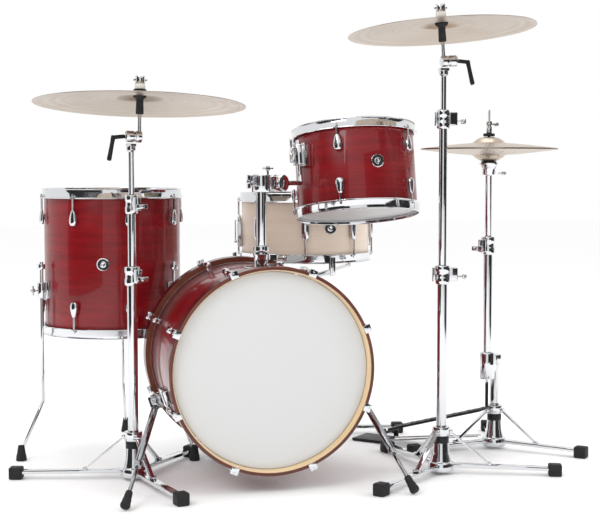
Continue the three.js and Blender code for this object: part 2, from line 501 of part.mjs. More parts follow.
// ---- place the origin under the middle of the whole kit -------------------------------------------------
kit.updateMatrixWorld(true);
const box = new THREE.Box3().setFromObject(kit, true);
const middle = box.getCenter(new THREE.Vector3());
bench.position.set(-middle.x, -middle.y, -box.min.z);

export default kit;
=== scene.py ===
# A four-piece acoustic drum kit in cherry-red lacquer with chrome stands, bronze cymbals and two pedals.
import math
import json

import bmesh
import bpy
from mathutils import Euler, Matrix, Vector


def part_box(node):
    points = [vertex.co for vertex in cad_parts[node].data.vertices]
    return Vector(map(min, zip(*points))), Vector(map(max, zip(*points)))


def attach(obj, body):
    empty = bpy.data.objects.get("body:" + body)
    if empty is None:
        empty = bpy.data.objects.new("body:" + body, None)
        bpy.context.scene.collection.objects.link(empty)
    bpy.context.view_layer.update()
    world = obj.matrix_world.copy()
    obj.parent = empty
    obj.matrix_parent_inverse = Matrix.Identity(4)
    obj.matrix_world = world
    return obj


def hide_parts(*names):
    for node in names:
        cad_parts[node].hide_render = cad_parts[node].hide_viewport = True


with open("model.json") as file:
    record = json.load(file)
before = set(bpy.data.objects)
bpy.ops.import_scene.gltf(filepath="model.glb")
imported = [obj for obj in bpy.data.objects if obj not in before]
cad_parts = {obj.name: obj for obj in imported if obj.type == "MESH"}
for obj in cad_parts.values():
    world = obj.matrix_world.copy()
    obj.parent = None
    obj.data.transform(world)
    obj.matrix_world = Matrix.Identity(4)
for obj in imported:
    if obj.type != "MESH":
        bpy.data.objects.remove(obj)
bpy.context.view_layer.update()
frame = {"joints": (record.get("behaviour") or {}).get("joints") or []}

camera = bpy.data.objects.new("camera", bpy.data.cameras.new("camera"))
camera.location = (-0.8865, -3.3793, 0.748)
camera.rotation_euler = (math.radians(90 - 3.76), 0, math.radians(-15.02))
camera.data.lens = 80.4
camera.data.sensor_width = 36
bpy.context.collection.objects.link(camera)
bpy.context.scene.camera = camera
bpy.context.scene.view_settings.view_transform = "Standard"


def soft_box(name, place, target, size, power):
    lamp = bpy.data.objects.new(name, bpy.data.lights.new(name, "AREA"))
    lamp.data.shape = "RECTANGLE"
    lamp.data.size, lamp.data.size_y = size
    lamp.data.energy = power
    lamp.location = place
    lamp.rotation_euler = (Vector(target) - Vector(place)).to_track_quat("-Z", "Y").to_euler()
    bpy.context.collection.objects.link(lamp)


soft_box("key_box", (-2.4, -2.2, 2.6), (0, 0, 0.5), (1.6, 1.6), 44)
soft_box("fill_box", (2.6, -1.6, 1.8), (0, 0, 0.5), (1.2, 2.0), 20)
soft_box("top_box", (0, 0.4, 3.0), (0, 0, 0.4), (2.4, 1.6), 30)

world = bpy.data.worlds.new("studio")
world.use_nodes = True
world.node_tree.nodes["Background"].inputs["Color"].default_value = (1, 1, 1, 1)
world.node_tree.nodes["Background"].inputs["Strength"].default_value = 1.0
bpy.context.scene.world = world


def plain(name, colour, roughness):
    material = bpy.data.materials.new(name)
    material.use_nodes = True
    shader = material.node_tree.nodes["Principled BSDF"]
    shader.inputs["Base Color"].default_value = (*colour, 1)
    shader.inputs["Roughness"].default_value = roughness
    return material


bpy.ops.mesh.primitive_plane_add(size=30)
floor = bpy.context.object
floor.name = "studio_floor"
floor.data.materials.append(plain("pale_floor", (0.98, 0.98, 0.98), 0.8))
dark_cloth = plain("dark_cloth", (0.01, 0.01, 0.01), 0.9)
for name, place, width, height in (("left", (-1.9, -1.0, 1.0), 2.2, 2.6),
                                   ("right", (1.9, -1.0, 1.0), 2.2, 2.6),
                                   ("front_left", (-2.7, -3.4, 1.2), 1.4, 3.4),
                                   ("front_right", (1.5, -4.6, 1.2), 3.0, 3.6)):
    bpy.ops.mesh.primitive_plane_add(size=1)
    card = bpy.context.object
    card.name = f"dark_card_{name}"
    towards = (Vector((0, 0, place[2])) - Vector(place)).to_track_quat("Z", "Y").to_matrix().to_4x4()
    card.data.transform(Matrix.Translation(place) @ towards @ Matrix.Diagonal((width, height, 1, 1)))
    card.data.materials.append(dark_cloth)
    card.visible_camera = False
    card.visible_diffuse = False
    card.visible_shadow = False

# ---- Bass drum shell --------------------------------------------------------------------------------------
# A six-ply maple tube, stained cherry red under clear gloss lacquer, with bearing edges cut at 45 degrees.
# The grain runs round the shell. A hole in its top lets the tom post slide down inside.
MM = 0.001


def only(piece):
    bpy.ops.object.select_all(action="DESELECT")
    piece.select_set(True)
    bpy.context.view_layer.objects.active = piece


def smoothed(piece, angle=30):
    """Smooths the faces that meet at less than an angle in degrees."""
    only(piece)
    bpy.ops.object.shade_smooth_by_angle(angle=math.radians(angle))
    return piece


def turned(name, points, sides=48, hollow=False):
    """A piece turned about Z from (radius, height) points in millimetres, capped, or closed on itself."""
    radius, height = points[0]
    bpy.ops.object.select_all(action="DESELECT")
    bpy.ops.mesh.primitive_circle_add(vertices=sides, radius=radius * MM,
                                      fill_type="NOTHING" if hollow else "NGON")
    piece = bpy.context.object
    piece.name = name
    bpy.ops.object.mode_set(mode="EDIT")
    bpy.ops.mesh.select_all(action="SELECT")
    bpy.ops.transform.translate(value=(0, 0, height * MM))
    for next_radius, next_height in points[1:] + ([points[0]] if hollow else []):
        bpy.ops.mesh.extrude_edges_move(TRANSFORM_OT_translate={"value": (0, 0, (next_height - height) * MM)})
        swell = next_radius / radius
        bpy.ops.transform.resize(value=(swell, swell, 1), center_override=(0, 0, 0))
        radius, height = next_radius, next_height
    if not hollow:
        bpy.ops.mesh.edge_face_add()
    bpy.ops.mesh.select_all(action="SELECT")
    bpy.ops.mesh.remove_doubles(threshold=0.000002)
    bpy.ops.mesh.normals_make_consistent(inside=False)
    bpy.ops.object.mode_set(mode="OBJECT")
    return piece


def rounded(piece, width=0.5, segments=2, angle=40):
    """Breaks the sharp edges and smooths what is left between them."""
    only(piece)
    bevel = piece.modifiers.new("edges", "BEVEL")
    bevel.width = width * MM
    bevel.segments = segments
    bevel.limit_method = "ANGLE"
    bevel.angle_limit = math.radians(angle)
    bpy.ops.object.modifier_apply(modifier="edges")
    return smoothed(piece, angle)


def moved(piece, matrix):
    """Puts a piece's place in its mesh. A millimetre matrix is made with at() or along()."""
    piece.data.transform(matrix)
    return piece


def copied(piece, matrix):
    twin = piece.copy()
    twin.data = piece.data.copy()
    twin.data.transform(matrix)
    bpy.context.collection.objects.link(twin)
    return twin


def joined(name, pieces):
    only(pieces[0])
    for piece in pieces:
        piece.select_set(True)
    bpy.ops.object.join()
    pieces[0].name = name
    return pieces[0]


def at(x, y, z):
    return Matrix.Translation((x * MM, y * MM, z * MM))


def turn(degrees, axis="Z"):
    return Matrix.Rotation(math.radians(degrees), 4, axis)


def joint_place(name):
    return Vector(next(j for j in frame["joints"] if j["name"] == name)["pos_m"])


def middle(node):
    low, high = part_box(node)
    return (Vector(low) + Vector(high)) / 2


def fit(piece, body, slot, *nodes):
    """The piece moves with a body and stands for its CAD nodes; its finish slot is not used."""
    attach(piece, body)
    if nodes:
        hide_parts(*nodes)
    return piece


def painted(piece, material):
    piece.data.materials.clear()
    piece.data.materials.append(material)
    return piece


def placed(piece, matrix, material, body, slot, *nodes):
    """Puts a finished piece where it belongs, in its material, on its body."""
    return fit(painted(moved(piece, matrix), material), body, slot, *nodes)


def group(name, inputs, outputs):
    tree = bpy.data.node_groups.new(name, "ShaderNodeTree")
    for kind, label in inputs:
        tree.interface.new_socket(label, in_out="INPUT", socket_type=kind)
    for kind, label in outputs:
        tree.interface.new_socket(label, in_out="OUTPUT", socket_type=kind)
    return tree, tree.nodes.new("NodeGroupInput"), tree.nodes.new("NodeGroupOutput")


def wood_figure_group():
    tree, given, out = group("wood_figure", [("NodeSocketVector", "Place"), ("NodeSocketColor", "Deep"),
                                             ("NodeSocketColor", "Body"), ("NodeSocketColor", "Bright")],
                             [("NodeSocketColor", "Colour"), ("NodeSocketFloat", "Pores")])
    stretch = tree.nodes.new("ShaderNodeMapping")
    stretch.inputs["Scale"].default_value = (2.2, 2.2, 34)
    cloud = tree.nodes.new("ShaderNodeTexNoise")
    cloud.inputs["Scale"].default_value = 1.6
    cloud.inputs["Detail"].default_value = 5
    cloud.inputs["Distortion"].default_value = 0.9
    streak = tree.nodes.new("ShaderNodeTexNoise")
    streak.inputs["Scale"].default_value = 9
    streak.inputs["Detail"].default_value = 8
    shade = tree.nodes.new("ShaderNodeMix")
    shade.data_type = "RGBA"
    lift = tree.nodes.new("ShaderNodeMix")
    lift.data_type = "RGBA"
    cloud_range = tree.nodes.new("ShaderNodeMapRange")
    cloud_range.inputs["From Min"].default_value = 0.25
    cloud_range.inputs["From Max"].default_value = 0.75
    streak_range = tree.nodes.new("ShaderNodeMapRange")
    streak_range.inputs["From Min"].default_value = 0.52
    streak_range.inputs["From Max"].default_value = 0.80
    streak_range.inputs["To Max"].default_value = 0.4
    wire = tree.links.new
    wire(given.outputs["Place"], stretch.inputs["Vector"])
    wire(stretch.outputs["Vector"], cloud.inputs["Vector"])
    wire(stretch.outputs["Vector"], streak.inputs["Vector"])
    wire(cloud.outputs["Fac"], cloud_range.inputs["Value"])
    wire(cloud_range.outputs["Result"], shade.inputs["Factor"])
    wire(given.outputs["Deep"], shade.inputs["A"])
    wire(given.outputs["Body"], shade.inputs["B"])
    wire(streak.outputs["Fac"], streak_range.inputs["Value"])
    wire(streak_range.outputs["Result"], lift.inputs["Factor"])
    wire(shade.outputs["Result"], lift.inputs["A"])
    wire(given.outputs["Bright"], lift.inputs["B"])
    wire(lift.outputs["Result"], out.inputs["Colour"])
    wire(streak.outputs["Fac"], out.inputs["Pores"])
    return tree


def handling_group():
    """Smears and dust: a roughness between two values that drifts over the surface."""
    tree, given, out = group("handling", [("NodeSocketFloat", "Clean"), ("NodeSocketFloat", "Smeared"),
                                          ("NodeSocketFloat", "Size")],
                             [("NodeSocketFloat", "Roughness")])
    place = tree.nodes.new("ShaderNodeTexCoord")
    smear = tree.nodes.new("ShaderNodeTexNoise")
    smear.inputs["Detail"].default_value = 4
    spread = tree.nodes.new("ShaderNodeMapRange")
    spread.inputs["From Min"].default_value = 0.38
    spread.inputs["From Max"].default_value = 0.66
    wire = tree.links.new
    wire(place.outputs["Object"], smear.inputs["Vector"])
    wire(given.outputs["Size"], smear.inputs["Scale"])
    wire(smear.outputs["Fac"], spread.inputs["Value"])
    wire(given.outputs["Clean"], spread.inputs["To Min"])
    wire(given.outputs["Smeared"], spread.inputs["To Max"])
    wire(spread.outputs["Result"], out.inputs["Roughness"])
    return tree


wood_figure = wood_figure_group()
handling = handling_group()


def surfaced(name, colour, metallic, clean, smeared, size=40):
    """A material with handling marks in its gloss."""
    material = plain(name, colour, clean)
    nodes = material.node_tree.nodes
    shader = nodes["Principled BSDF"]
    shader.inputs["Metallic"].default_value = metallic
    marks = nodes.new("ShaderNodeGroup")
    marks.node_tree = handling
    marks.inputs["Clean"].default_value = clean
    marks.inputs["Smeared"].default_value = smeared
    marks.inputs["Size"].default_value = size
    material.node_tree.links.new(marks.outputs["Roughness"], shader.inputs["Roughness"])
    return material


def lacquered(name, matrix, deep, body, bright, coat=0.45):
    """Figured wood under lacquer; the grain runs round the Z axis of the piece's own frame."""
    material = surfaced(name, body, 0, 0.28, 0.40, 14)
    nodes = material.node_tree.nodes
    wire = material.node_tree.links.new
    shader = nodes["Principled BSDF"]
    place = nodes.new("ShaderNodeTexCoord")
    centred = nodes.new("ShaderNodeMapping")
    inverse = matrix.inverted()
    centred.inputs["Location"].default_value = inverse.translation
    centred.inputs["Rotation"].default_value = inverse.to_euler()
    figure = nodes.new("ShaderNodeGroup")
    figure.node_tree = wood_figure
    for label, tint in (("Deep", deep), ("Body", body), ("Bright", bright)):
        figure.inputs[label].default_value = (*tint, 1)
    bump = nodes.new("ShaderNodeBump")
    bump.inputs["Strength"].default_value = 0.04
    bump.inputs["Distance"].default_value = 0.0006
    wire(place.outputs["Object"], centred.inputs["Vector"])
    wire(centred.outputs["Vector"], figure.inputs["Place"])
    wire(figure.outputs["Colour"], shader.inputs["Base Color"])
    wire(figure.outputs["Pores"], bump.inputs["Height"])
    wire(bump.outputs["Normal"], shader.inputs["Normal"])
    shader.inputs["Coat Weight"].default_value = coat
    shader.inputs["Specular IOR Level"].default_value = 0.25
    shader.inputs["Coat Roughness"].default_value = 0.05
    return material


CHERRY = ((0.12, 0.001, 0.003), (0.23, 0.002, 0.006), (0.33, 0.007, 0.010))
bass_front, bass_rear = middle("bass_front_head"), middle("bass_rear_head")
bass = Matrix.Translation((bass_front + bass_rear) / 2) @ turn(90, "X")      # local Z faces the audience
BASS = {"radius": 228.6, "half": 178.0, "wall": 7.5, "hoop": 244.0, "lugs": 8}


def shell(name, radius, half, wall, sides=128):
    bevel = wall * 0.45
    return turned(name, [(radius - wall, -half + bevel), (radius - wall + bevel, -half),
                         (radius - 1, -half + 1.6), (radius, -half + 4), (radius, half - 4),
                         (radius - 1, half - 1.6), (radius - wall + bevel, half),
                         (radius - wall, half - bevel)], sides, hollow=True)


bass_shell = shell("bass_drum_shell", BASS["radius"], BASS["half"], BASS["wall"], 160)
moved(bass_shell, bass)
post = joint_place("tom_swivel")
POST_HOLE = 14.6
bpy.ops.object.select_all(action="DESELECT")
bpy.ops.mesh.primitive_cylinder_add(vertices=40, radius=POST_HOLE * MM, depth=0.06,
                                    location=(post.x, post.y, bass.translation.z + BASS["radius"] * MM))
post_drill = bpy.context.object
bore = bass_shell.modifiers.new("post_hole", "BOOLEAN")
bore.object = post_drill
bore.operation = "DIFFERENCE"
only(bass_shell)
bpy.ops.object.modifier_apply(modifier="post_hole")
bpy.data.objects.remove(post_drill)
bpy.ops.object.shade_smooth_by_angle(angle=math.radians(30))
fit(painted(bass_shell, lacquered("bass_lacquer", bass, *CHERRY)), "kit", "cherry_lacquer", "bass_shell")

# ---- Bass drum heads and hoops ----------------------------------------------------------------------------
# White film heads with a rolled collar, held by bent wood hoops: dark wine lacquer round the outside, a
# brown front edge with a thin black ring of painted shadow on it, and clear maple inside.
film = surfaced("white_film", (0.58, 0.585, 0.585), 0, 0.34, 0.48, 9)
# Black for the badges' printed rings, and for the painted shadow line on the bass drum hoops.
ink_and_painted_shade = surfaced("black_ink_and_painted_shade", (0.012, 0.012, 0.013), 0, 0.4, 0.55, 60)


def head(name, radius, half, collar, sides=128):
    inner, outer = radius + 0.4, radius + 1.6
    return turned(name, [(radius - 4, half + 0.4), (inner, half + 0.4), (inner, half - collar),
                         (outer, half - collar), (outer, half + 0.4), (radius - 1.5, half + 1.4),
                         (radius - 14, half + 1.6)], sides)


def half_turn(matrix):
    """The same frame seen from the other end of the drum."""
    return matrix @ turn(180, "X")


WINE = ((0.045, 0.002, 0.004), (0.09, 0.003, 0.006), (0.15, 0.006, 0.009))
STAIN = ((0.09, 0.020, 0.010), (0.20, 0.055, 0.026), (0.30, 0.10, 0.05))
CLEAR_MAPLE = ((0.66, 0.46, 0.25), (0.80, 0.62, 0.38), (0.88, 0.74, 0.50))
hoop_wine = lacquered("hoop_wine", bass, *WINE)
hoop_stain = lacquered("hoop_stain", bass, *STAIN)
hoop_maple = lacquered("hoop_maple", bass, *CLEAR_MAPLE, coat=0.5)
for end, name in ((bass, "front"), (half_turn(bass), "rear")):
    skin = moved(head(f"bass_drum_{name}_head", BASS["radius"], BASS["half"], 13), end)
    smoothed(skin)
    fit(painted(skin, film), "kit", "drum_head", f"bass_{name}_head")
    hoop = turned(f"bass_drum_{name}_hoop", [(231.2, 162), (243.2, 162), (244, 163), (244, 198.6), (243, 200),
                                             (237, 200), (235.8, 199.2), (231.4, 184)], 160, hollow=True)
    painted(hoop, hoop_wine)
    hoop.data.materials.append(hoop_stain)
    hoop.data.materials.append(hoop_maple)
    for face in hoop.data.polygons:
        outwards = face.normal.dot(Vector((face.center.x, face.center.y, 0)).normalized())
        face.material_index = 2 if outwards < -0.9 else 0 if outwards > 0.3 else 1
    smoothed(hoop)
    fit(moved(hoop, end), "kit", "hoop_wood", f"bass_{name}_hoop")

    # A thin black ring painted on the hoop's front face as a shadow line.
    painted_gap_shadow = turned(f"bass_drum_{name}_hoop_painted_shadow", [(238.6, 199.9), (240, 199.9), (240, 200.2),
                                                    (238.6, 200.2)], 160, hollow=True)
    placed(painted_gap_shadow, end, ink_and_painted_shade, "kit", "black")

# ---- Bass drum lugs, claws and tension rods ---------------------------------------------------------------
# Eight bullet lugs a side stand on pedestals. Key rods run from them through chrome claws hooked over the
# hoop. All are cast or pressed metal, polished and chrome plated.
chrome = surfaced("chrome_plate", (0.70, 0.71, 0.73), 1, 0.05, 0.13, 30)


def casting(name, size, taper=0.86, soft=1.2):
    """A cast block whose outer (+X) face is drawn in and raised, in millimetres, centred on the origin."""
    bpy.ops.object.select_all(action="DESELECT")
    bpy.ops.mesh.primitive_cube_add(size=1)
    piece = bpy.context.object
    piece.name = name
    bpy.ops.object.mode_set(mode="EDIT")
    bpy.ops.mesh.select_all(action="SELECT")
    bpy.ops.transform.resize(value=(size[0] * 0.9 * MM, size[1] * MM, size[2] * MM),
                             center_override=(0, 0, 0))
    bpy.ops.transform.translate(value=(-size[0] * 0.05 * MM, 0, 0))
    bpy.ops.mesh.select_all(action="DESELECT")
    form = bmesh.from_edit_mesh(piece.data)
    for face in form.faces:
        face.select_set(face.normal.x > 0.9)
    bmesh.update_edit_mesh(piece.data)
    bpy.ops.mesh.inset(thickness=min(size[1], size[2]) * 0.12 * MM)
    bpy.ops.mesh.extrude_region_move(TRANSFORM_OT_translate={"value": (size[0] * 0.1 * MM, 0, 0)})
    bpy.ops.transform.resize(value=(1, taper, taper), center_override=(0, 0, 0))
    bpy.ops.object.mode_set(mode="OBJECT")
    return rounded(piece, soft, 3, 30)


def ringed(name, pieces_at, body, slot, material, matrix):
    """Joins copies of one pattern placed round a drum, and fits them as one piece."""
    whole = joined(name, pieces_at)
    return placed(whole, matrix, material, body, slot)


def around(pattern, count, first, matrices=(Matrix.Identity(4),)):
    twins = [copied(pattern, turn(first + 360 / count * i) @ extra)
             for i in range(count) for extra in matrices]
    bpy.data.objects.remove(pattern)
    return twins


def righted(piece):
    """Points the faces of mirrored copies outwards again."""
    only(piece)
    bpy.ops.object.mode_set(mode="EDIT")
    bpy.ops.mesh.select_all(action="SELECT")
    bpy.ops.mesh.normals_make_consistent(inside=False)
    bpy.ops.object.mode_set(mode="OBJECT")
    return piece


MIRRORED = Matrix.Diagonal((1, 1, -1, 1))        # the other end of a drum
FIRST_LUG = 22.5                                 # degrees from level
LUG_LINE, LUG_HEIGHT = 247, 116                  # a lug's distance from the drum's axis and from its middle
CLAW_LINE = 249                                  # the key rods' distance from the drum's axis
bullet = rounded(turned("bullet", [(2.5, -23), (5, -22), (7, -17), (8, -6), (8, 10), (7.2, 16), (6, 21),
                                   (4.2, 22)], 24), 0.6)
pedestal = casting("pedestal", (17, 11, 22), 0.8)
lug = joined("lug", [moved(bullet, at(LUG_LINE, 0, LUG_HEIGHT)),
                     moved(pedestal, at(LUG_LINE - 11, 0, LUG_HEIGHT))])
righted(ringed("bass_drum_lugs", around(lug, BASS["lugs"], FIRST_LUG, (Matrix.Identity(4), MIRRORED)), "kit",
               "chrome", chrome, bass))
for end, name in ((bass, "front"), (half_turn(bass), "rear")):
    plate = moved(casting("plate", (3.4, 19, 17), 0.9, 0.6), at(244.5, 0, 201.8) @ turn(-90, "Y"))
    hook = moved(casting("hook", (3.6, 18, 25), 0.9, 0.6), at(246.6, 0, 189))
    boss = moved(rounded(turned("boss", [(4.6, -8), (5.4, -7), (5.4, 7), (4.4, 8)], 20), 0.4),
                 at(CLAW_LINE, 0, 190))
    shank = moved(turned("shank", [(2.9, 138), (2.9, 186), (2.9, 196)], 14), at(CLAW_LINE, 0, 0))
    key = moved(rounded(turned("key", [(3.6, 197), (3.6, 199), (2.9, 199.4), (2.9, 203.4)], 4), 0.3),
                at(CLAW_LINE, 0, 0))
    claw = joined("claw", [plate, hook, boss, shank, key])
    ringed(f"bass_drum_{name}_claws", around(claw, BASS["lugs"], FIRST_LUG), "kit", "chrome", chrome, end)

# ---- Spurs ------------------------------------------------------------------------------------------------
# Two folding legs stop the bass drum from rolling: a cast knuckle on the shell, a thick tube with a thin
# rod that slides in it, and a ribbed rubber cone for a foot. A black T-bolt locks each knuckle.
rubber = surfaced("moulded_rubber", (0.016, 0.016, 0.017), 0, 0.55, 0.75, 60)
black_coat = surfaced("black_coating", (0.012, 0.012, 0.014), 0, 0.32, 0.5, 50)
for dark in (rubber, black_coat):
    dark.node_tree.nodes["Principled BSDF"].inputs["Specular IOR Level"].default_value = 0.28
smoked_chrome = surfaced("smoked_chrome", (0.40, 0.41, 0.43), 1, 0.08, 0.16, 30)


def along(start, end):
    """The frame whose Z runs from one point to another, with X kept level."""
    run = (Vector(end) - Vector(start)).normalized()
    side = Vector((0, 0, 1)).cross(run)
    side = Vector((1, 0, 0)) if side.length < 0.01 else side.normalized()
    return Matrix.Translation(start) @ Matrix((side, run.cross(side), run)).transposed().to_4x4()


def stick_between(name, start, end, radius, sides=28, tip=0.6):
    """A round bar or tube from one point to another in metres, its ends broken."""
    length = (Vector(end) - Vector(start)).length / MM
    bar = turned(name, [(radius - tip, 0), (radius, tip), (radius, length - tip), (radius - tip, length)],
                 sides)
    return moved(smoothed(bar, 50), along(start, end))


FACING = (0.95106, -0.30902)                     # a knuckle faces out and 18 degrees down
FOOT = 0.0125                                    # from a foot's edge to its middle, in metres
for side, name in ((-1, "left"), (1, "right")):
    knuckle = joint_place(f"spur_{name}_fold")
    low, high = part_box(f"spur_{name}")
    foot = Vector((low[0] + FOOT if side < 0 else high[0] - FOOT, low[1] + FOOT, 0.009))
    outward = Vector((side * FACING[0], 0, FACING[1]))
    bracket = moved(casting("bracket", (24, 44, 60), 0.82, 2.5),
                    bass @ turn(198 if side < 0 else -18) @ at(BASS["radius"] + 9, 0, 56))
    fit(painted(bracket, chrome), "kit", "chrome").name = f"spur_{name}_bracket"
    hub_frame = along(knuckle, knuckle + outward)
    teeth = rounded(turned("teeth", [(15, -12.6), (18.6, -11), (18.6, -3), (17, -2), (17, 0), (18.6, 1),
                                     (18.6, 10), (14, 14), (8, 14.6)], 36), 0.5)
    lower = knuckle.lerp(foot, 0.62)
    pieces = [moved(teeth, hub_frame), stick_between("tube", knuckle, lower, 8.3)]
    cap = turned("cap", [(8.4, -9), (9.6, -8), (9.6, 3), (6, 5)], 28)
    pieces.append(moved(rounded(cap, 0.4), along(lower, foot)))
    pieces.append(stick_between("rod", knuckle.lerp(foot, 0.6), knuckle.lerp(foot, 0.93), 4.8))
    leg = joined(f"spur_{name}_leg", pieces)
    fit(painted(leg, smoked_chrome), f"spur_{name}", "chrome", f"spur_{name}")
    reach = (foot - knuckle).length * 0.14 / MM
    cone = rounded(turned("cone", [(7, 0), (8, 1), (9, reach * 0.3), (8.4, reach * 0.34),
                                   (10.4, reach * 0.55), (9.8, reach * 0.6), (12, reach * 0.86),
                                   (10.5, reach * 0.96), (6, reach)], 28), 0.5)
    placed(cone, along(knuckle.lerp(foot, 0.86), foot), rubber, f"spur_{name}", "rubber")
    cone.name = f"spur_{name}_foot"
    bolt_at = knuckle + outward * 0.0155
    grip = moved(casting("grip", (7, 30, 10), 0.8, 1.6), along(bolt_at, bolt_at + outward) @ turn(-90, "Y"))
    fit(painted(grip, black_coat), f"spur_{name}", "black").name = f"spur_{name}_bolt"

# ---- Tom post ---------------------------------------------------------------------------------------------
# A cast socket is bolted to the top of the bass drum over a gasket. The post, a thick chrome tube, slides
# in it under a memory ring, and a T-bolt at the right holds it.
shell_top = bass.translation.z / MM + BASS["radius"]
post_axis = Matrix.Translation((post.x, post.y, 0))


def wing(name, reach=15, thick=4, height=12):
    """A wing screw head: a hub with two drawn-out, rounded ears along Y, its shank towards -X."""
    ears = casting("ears", (thick, reach * 2, height), 0.9, 1.4)
    hub = rounded(turned("hub", [(4, -6), (5, -5), (5, 5), (3.6, 6)], 20), 0.4)
    shank = turned("shank", [(2.6, -16), (2.6, -5)], 14)
    return joined(name, [ears, moved(hub, turn(90, "Y")), moved(shank, turn(90, "Y"))])


sleeve = rounded(turned("sleeve", [(13.2, 0), (19, 0), (18.2, 6), (18, 30), (19.4, 33), (19.4, 38.5),
                                   (13.2, 38.5)], 40, hollow=True), 0.6)
ear = casting("ear", (24, 17, 25), 0.8, 2)
t_bolt = moved(wing("t_bolt", 14, 6, 11), at(59, 0, 24))
socket = joined("tom_post_socket_casting", [sleeve, moved(ear, at(28, 0, 22)), t_bolt])
placed(socket, post_axis @ at(0, 0, shell_top + 1), chrome, "kit", "chrome", "tom_post_socket")
saddle = casting("saddle", (8, 70, 70), 0.94, 2)
moved(saddle, post_axis @ at(0, 0, shell_top + 1.5) @ turn(-90, "Y"))
drill = turned("drill", [(13.2, -30), (13.2, 60)], 40)
moved(drill, post_axis @ at(0, 0, shell_top))
cutter = saddle.modifiers.new("bore", "BOOLEAN")
cutter.object = drill
only(saddle)
bpy.ops.object.modifier_apply(modifier="bore")
bpy.data.objects.remove(drill)
saddle.name = "tom_post_saddle"
fit(painted(saddle, chrome), "kit", "chrome")
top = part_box("tom_post")[1][2] / MM
tube = rounded(turned("tom_post_tube", [(10.6, shell_top + 6), (12.6, shell_top + 6), (12.6, top - 0.6),
                                        (12, top), (11, top), (10.6, top - 1)], 40, hollow=True), 0.3)
collar = rounded(turned("collar", [(12.6, 41), (18.4, 41), (18.8, 42), (18.8, 54), (18, 55.4),
                                   (12.6, 55.4)], 40, hollow=True), 0.5)
tube = joined("tom_post_tube", [tube, moved(collar, at(0, 0, shell_top))])
placed(tube, post_axis, chrome, "tom_post", "chrome", "tom_post")

# ---- Tom clamp and arm ------------------------------------------------------------------------------------
# A split clamp on the post carries a toothed barrel. The L-shaped arm tilts in the barrel, and its upright
# end runs up through the bracket on the rack tom's shell.
barrel = joint_place("tom_tilt")
facing = math.atan2(barrel.y - post.y, barrel.x - post.x)
arm_frame = Matrix.Translation((post.x, post.y, barrel.z)) @ Matrix.Rotation(facing, 4, "Z")
band = rounded(turned("band", [(13.4, -21), (21, -21), (22, -19), (22, 19), (21, 21), (13.4, 21)], 40,
                      hollow=True), 1)
cheek = moved(casting("cheek", (26, 34, 34), 0.9, 2.5), at(31, 0, 0))
back = moved(casting("back", (18, 25, 26), 0.84, 2), at(-27, 0, 6) @ turn(180))
wing_left = moved(wing("wing_left", 16, 4, 12), at(-46, 0, 4) @ turn(180) @ turn(90, "X"))
wing_top = moved(wing("wing_top", 14, 5, 9), at(27, 0, 36) @ turn(-90, "Y"))
clamp = joined("tom_arm_clamp_casting", [band, cheek, back, wing_left, wing_top])
placed(clamp, arm_frame, chrome, "tom_clamp", "chrome", "tom_arm_clamp")

tom_top, tom_low = middle("rack_tom_top_head"), middle("rack_tom_bottom_head")
tom_axis = (tom_top - tom_low).normalized()
tom_side = Vector((0, 1, 0)).cross(tom_axis).normalized()
rack = Matrix.Translation((tom_top + tom_low) / 2) @ Matrix(
    (tom_side, tom_axis.cross(tom_side), tom_axis)).transposed().to_4x4()
SOCKET = {"angle": 200.0, "line": 174.4}
elbow_height = -34


def ball(place, radius):
    """A smooth ball, for the bend of a rod."""
    bpy.ops.mesh.primitive_uv_sphere_add(segments=24, ring_count=12, radius=radius * MM, location=place)
    piece = bpy.context.object
    only(piece)
    bpy.ops.object.transform_apply(location=True, rotation=True, scale=True)
    bpy.ops.object.shade_smooth()
    return piece


def on_tom(height):
    return rack @ turn(SOCKET["angle"]) @ Vector((SOCKET["line"] * MM, 0, height * MM))


across = Matrix.Rotation(facing, 3, "Z") @ Vector((0, 0.021, 0))
drum_barrel = rounded(turned("drum_barrel", [(14, 0), (20, 1), (20.8, 3), (20.8, 15), (18.5, 16), (18.5, 26),
                                             (20.8, 27), (20.8, 39), (20, 41), (12, 42)], 40), 0.5)
moved(drum_barrel, along(barrel - across, barrel + across))
elbow = on_tom(elbow_height)
knee = ball(elbow, 6)
l_arm = joined("tom_l_arm", [stick_between("reach", barrel, elbow, 5.9), knee,
                             stick_between("upright", elbow, on_tom(73), 5.9), drum_barrel])
fit(painted(l_arm, chrome), "rack_tom", "chrome", "tom_arm")

# ---- Toms and snare ---------------------------------------------------------------------------------------
# Each drum is a wood shell with film heads, triple-flanged steel hoops, key rods with washers in the hoop's
# ears, and cast lugs. The toms have teardrop lugs, the snare tall ovals that serve both rods.


def triple_flange(name, radius, half):
    inner, edge = radius + 2.0, half + 0.4
    section = [(inner, edge - 12.2), (inner, edge + 10), (inner + 0.7, edge + 11.6), (inner + 4.6, edge + 12),
               (inner + 5.4, edge + 11.2), (inner + 4.8, edge + 10.2), (inner + 2.4, edge + 9.4),
               (inner + 2.1, edge + 1), (inner + 2.9, edge), (inner + 2.9, edge - 9.6),
               (inner + 4.0, edge - 10.8), (inner + 8.6, edge - 10.9), (inner + 9.4, edge - 11.9),
               (inner + 8.8, edge - 12.9), (inner + 0.8, edge - 12.9)]
    return smoothed(turned(name, section, 128, hollow=True), 50)


def badge(name, radius, angle, height, matrix, body):
    """A plain ring badge with an eyelet that vents the shell."""
    disc = rounded(turned("disc", [(16, -1.6), (16.6, 0.4), (15.6, 1.2), (14.2, 0.7), (8, 0.7), (7.2, 1.3),
                                   (4, 1.3), (2.6, 0.2)], 40), 0.2)
    frame_here = matrix @ turn(angle) @ at(radius, 0, height) @ turn(90, "Y")
    placed(disc, frame_here, chrome, body, "chrome").name = name
    field = turned("field", [(8.4, 0.7), (13.8, 0.7), (13.8, 0.95), (8.4, 0.95)], 40, hollow=True)
    placed(field, frame_here, ink_and_painted_shade, body, "black").name = f"{name}_field"


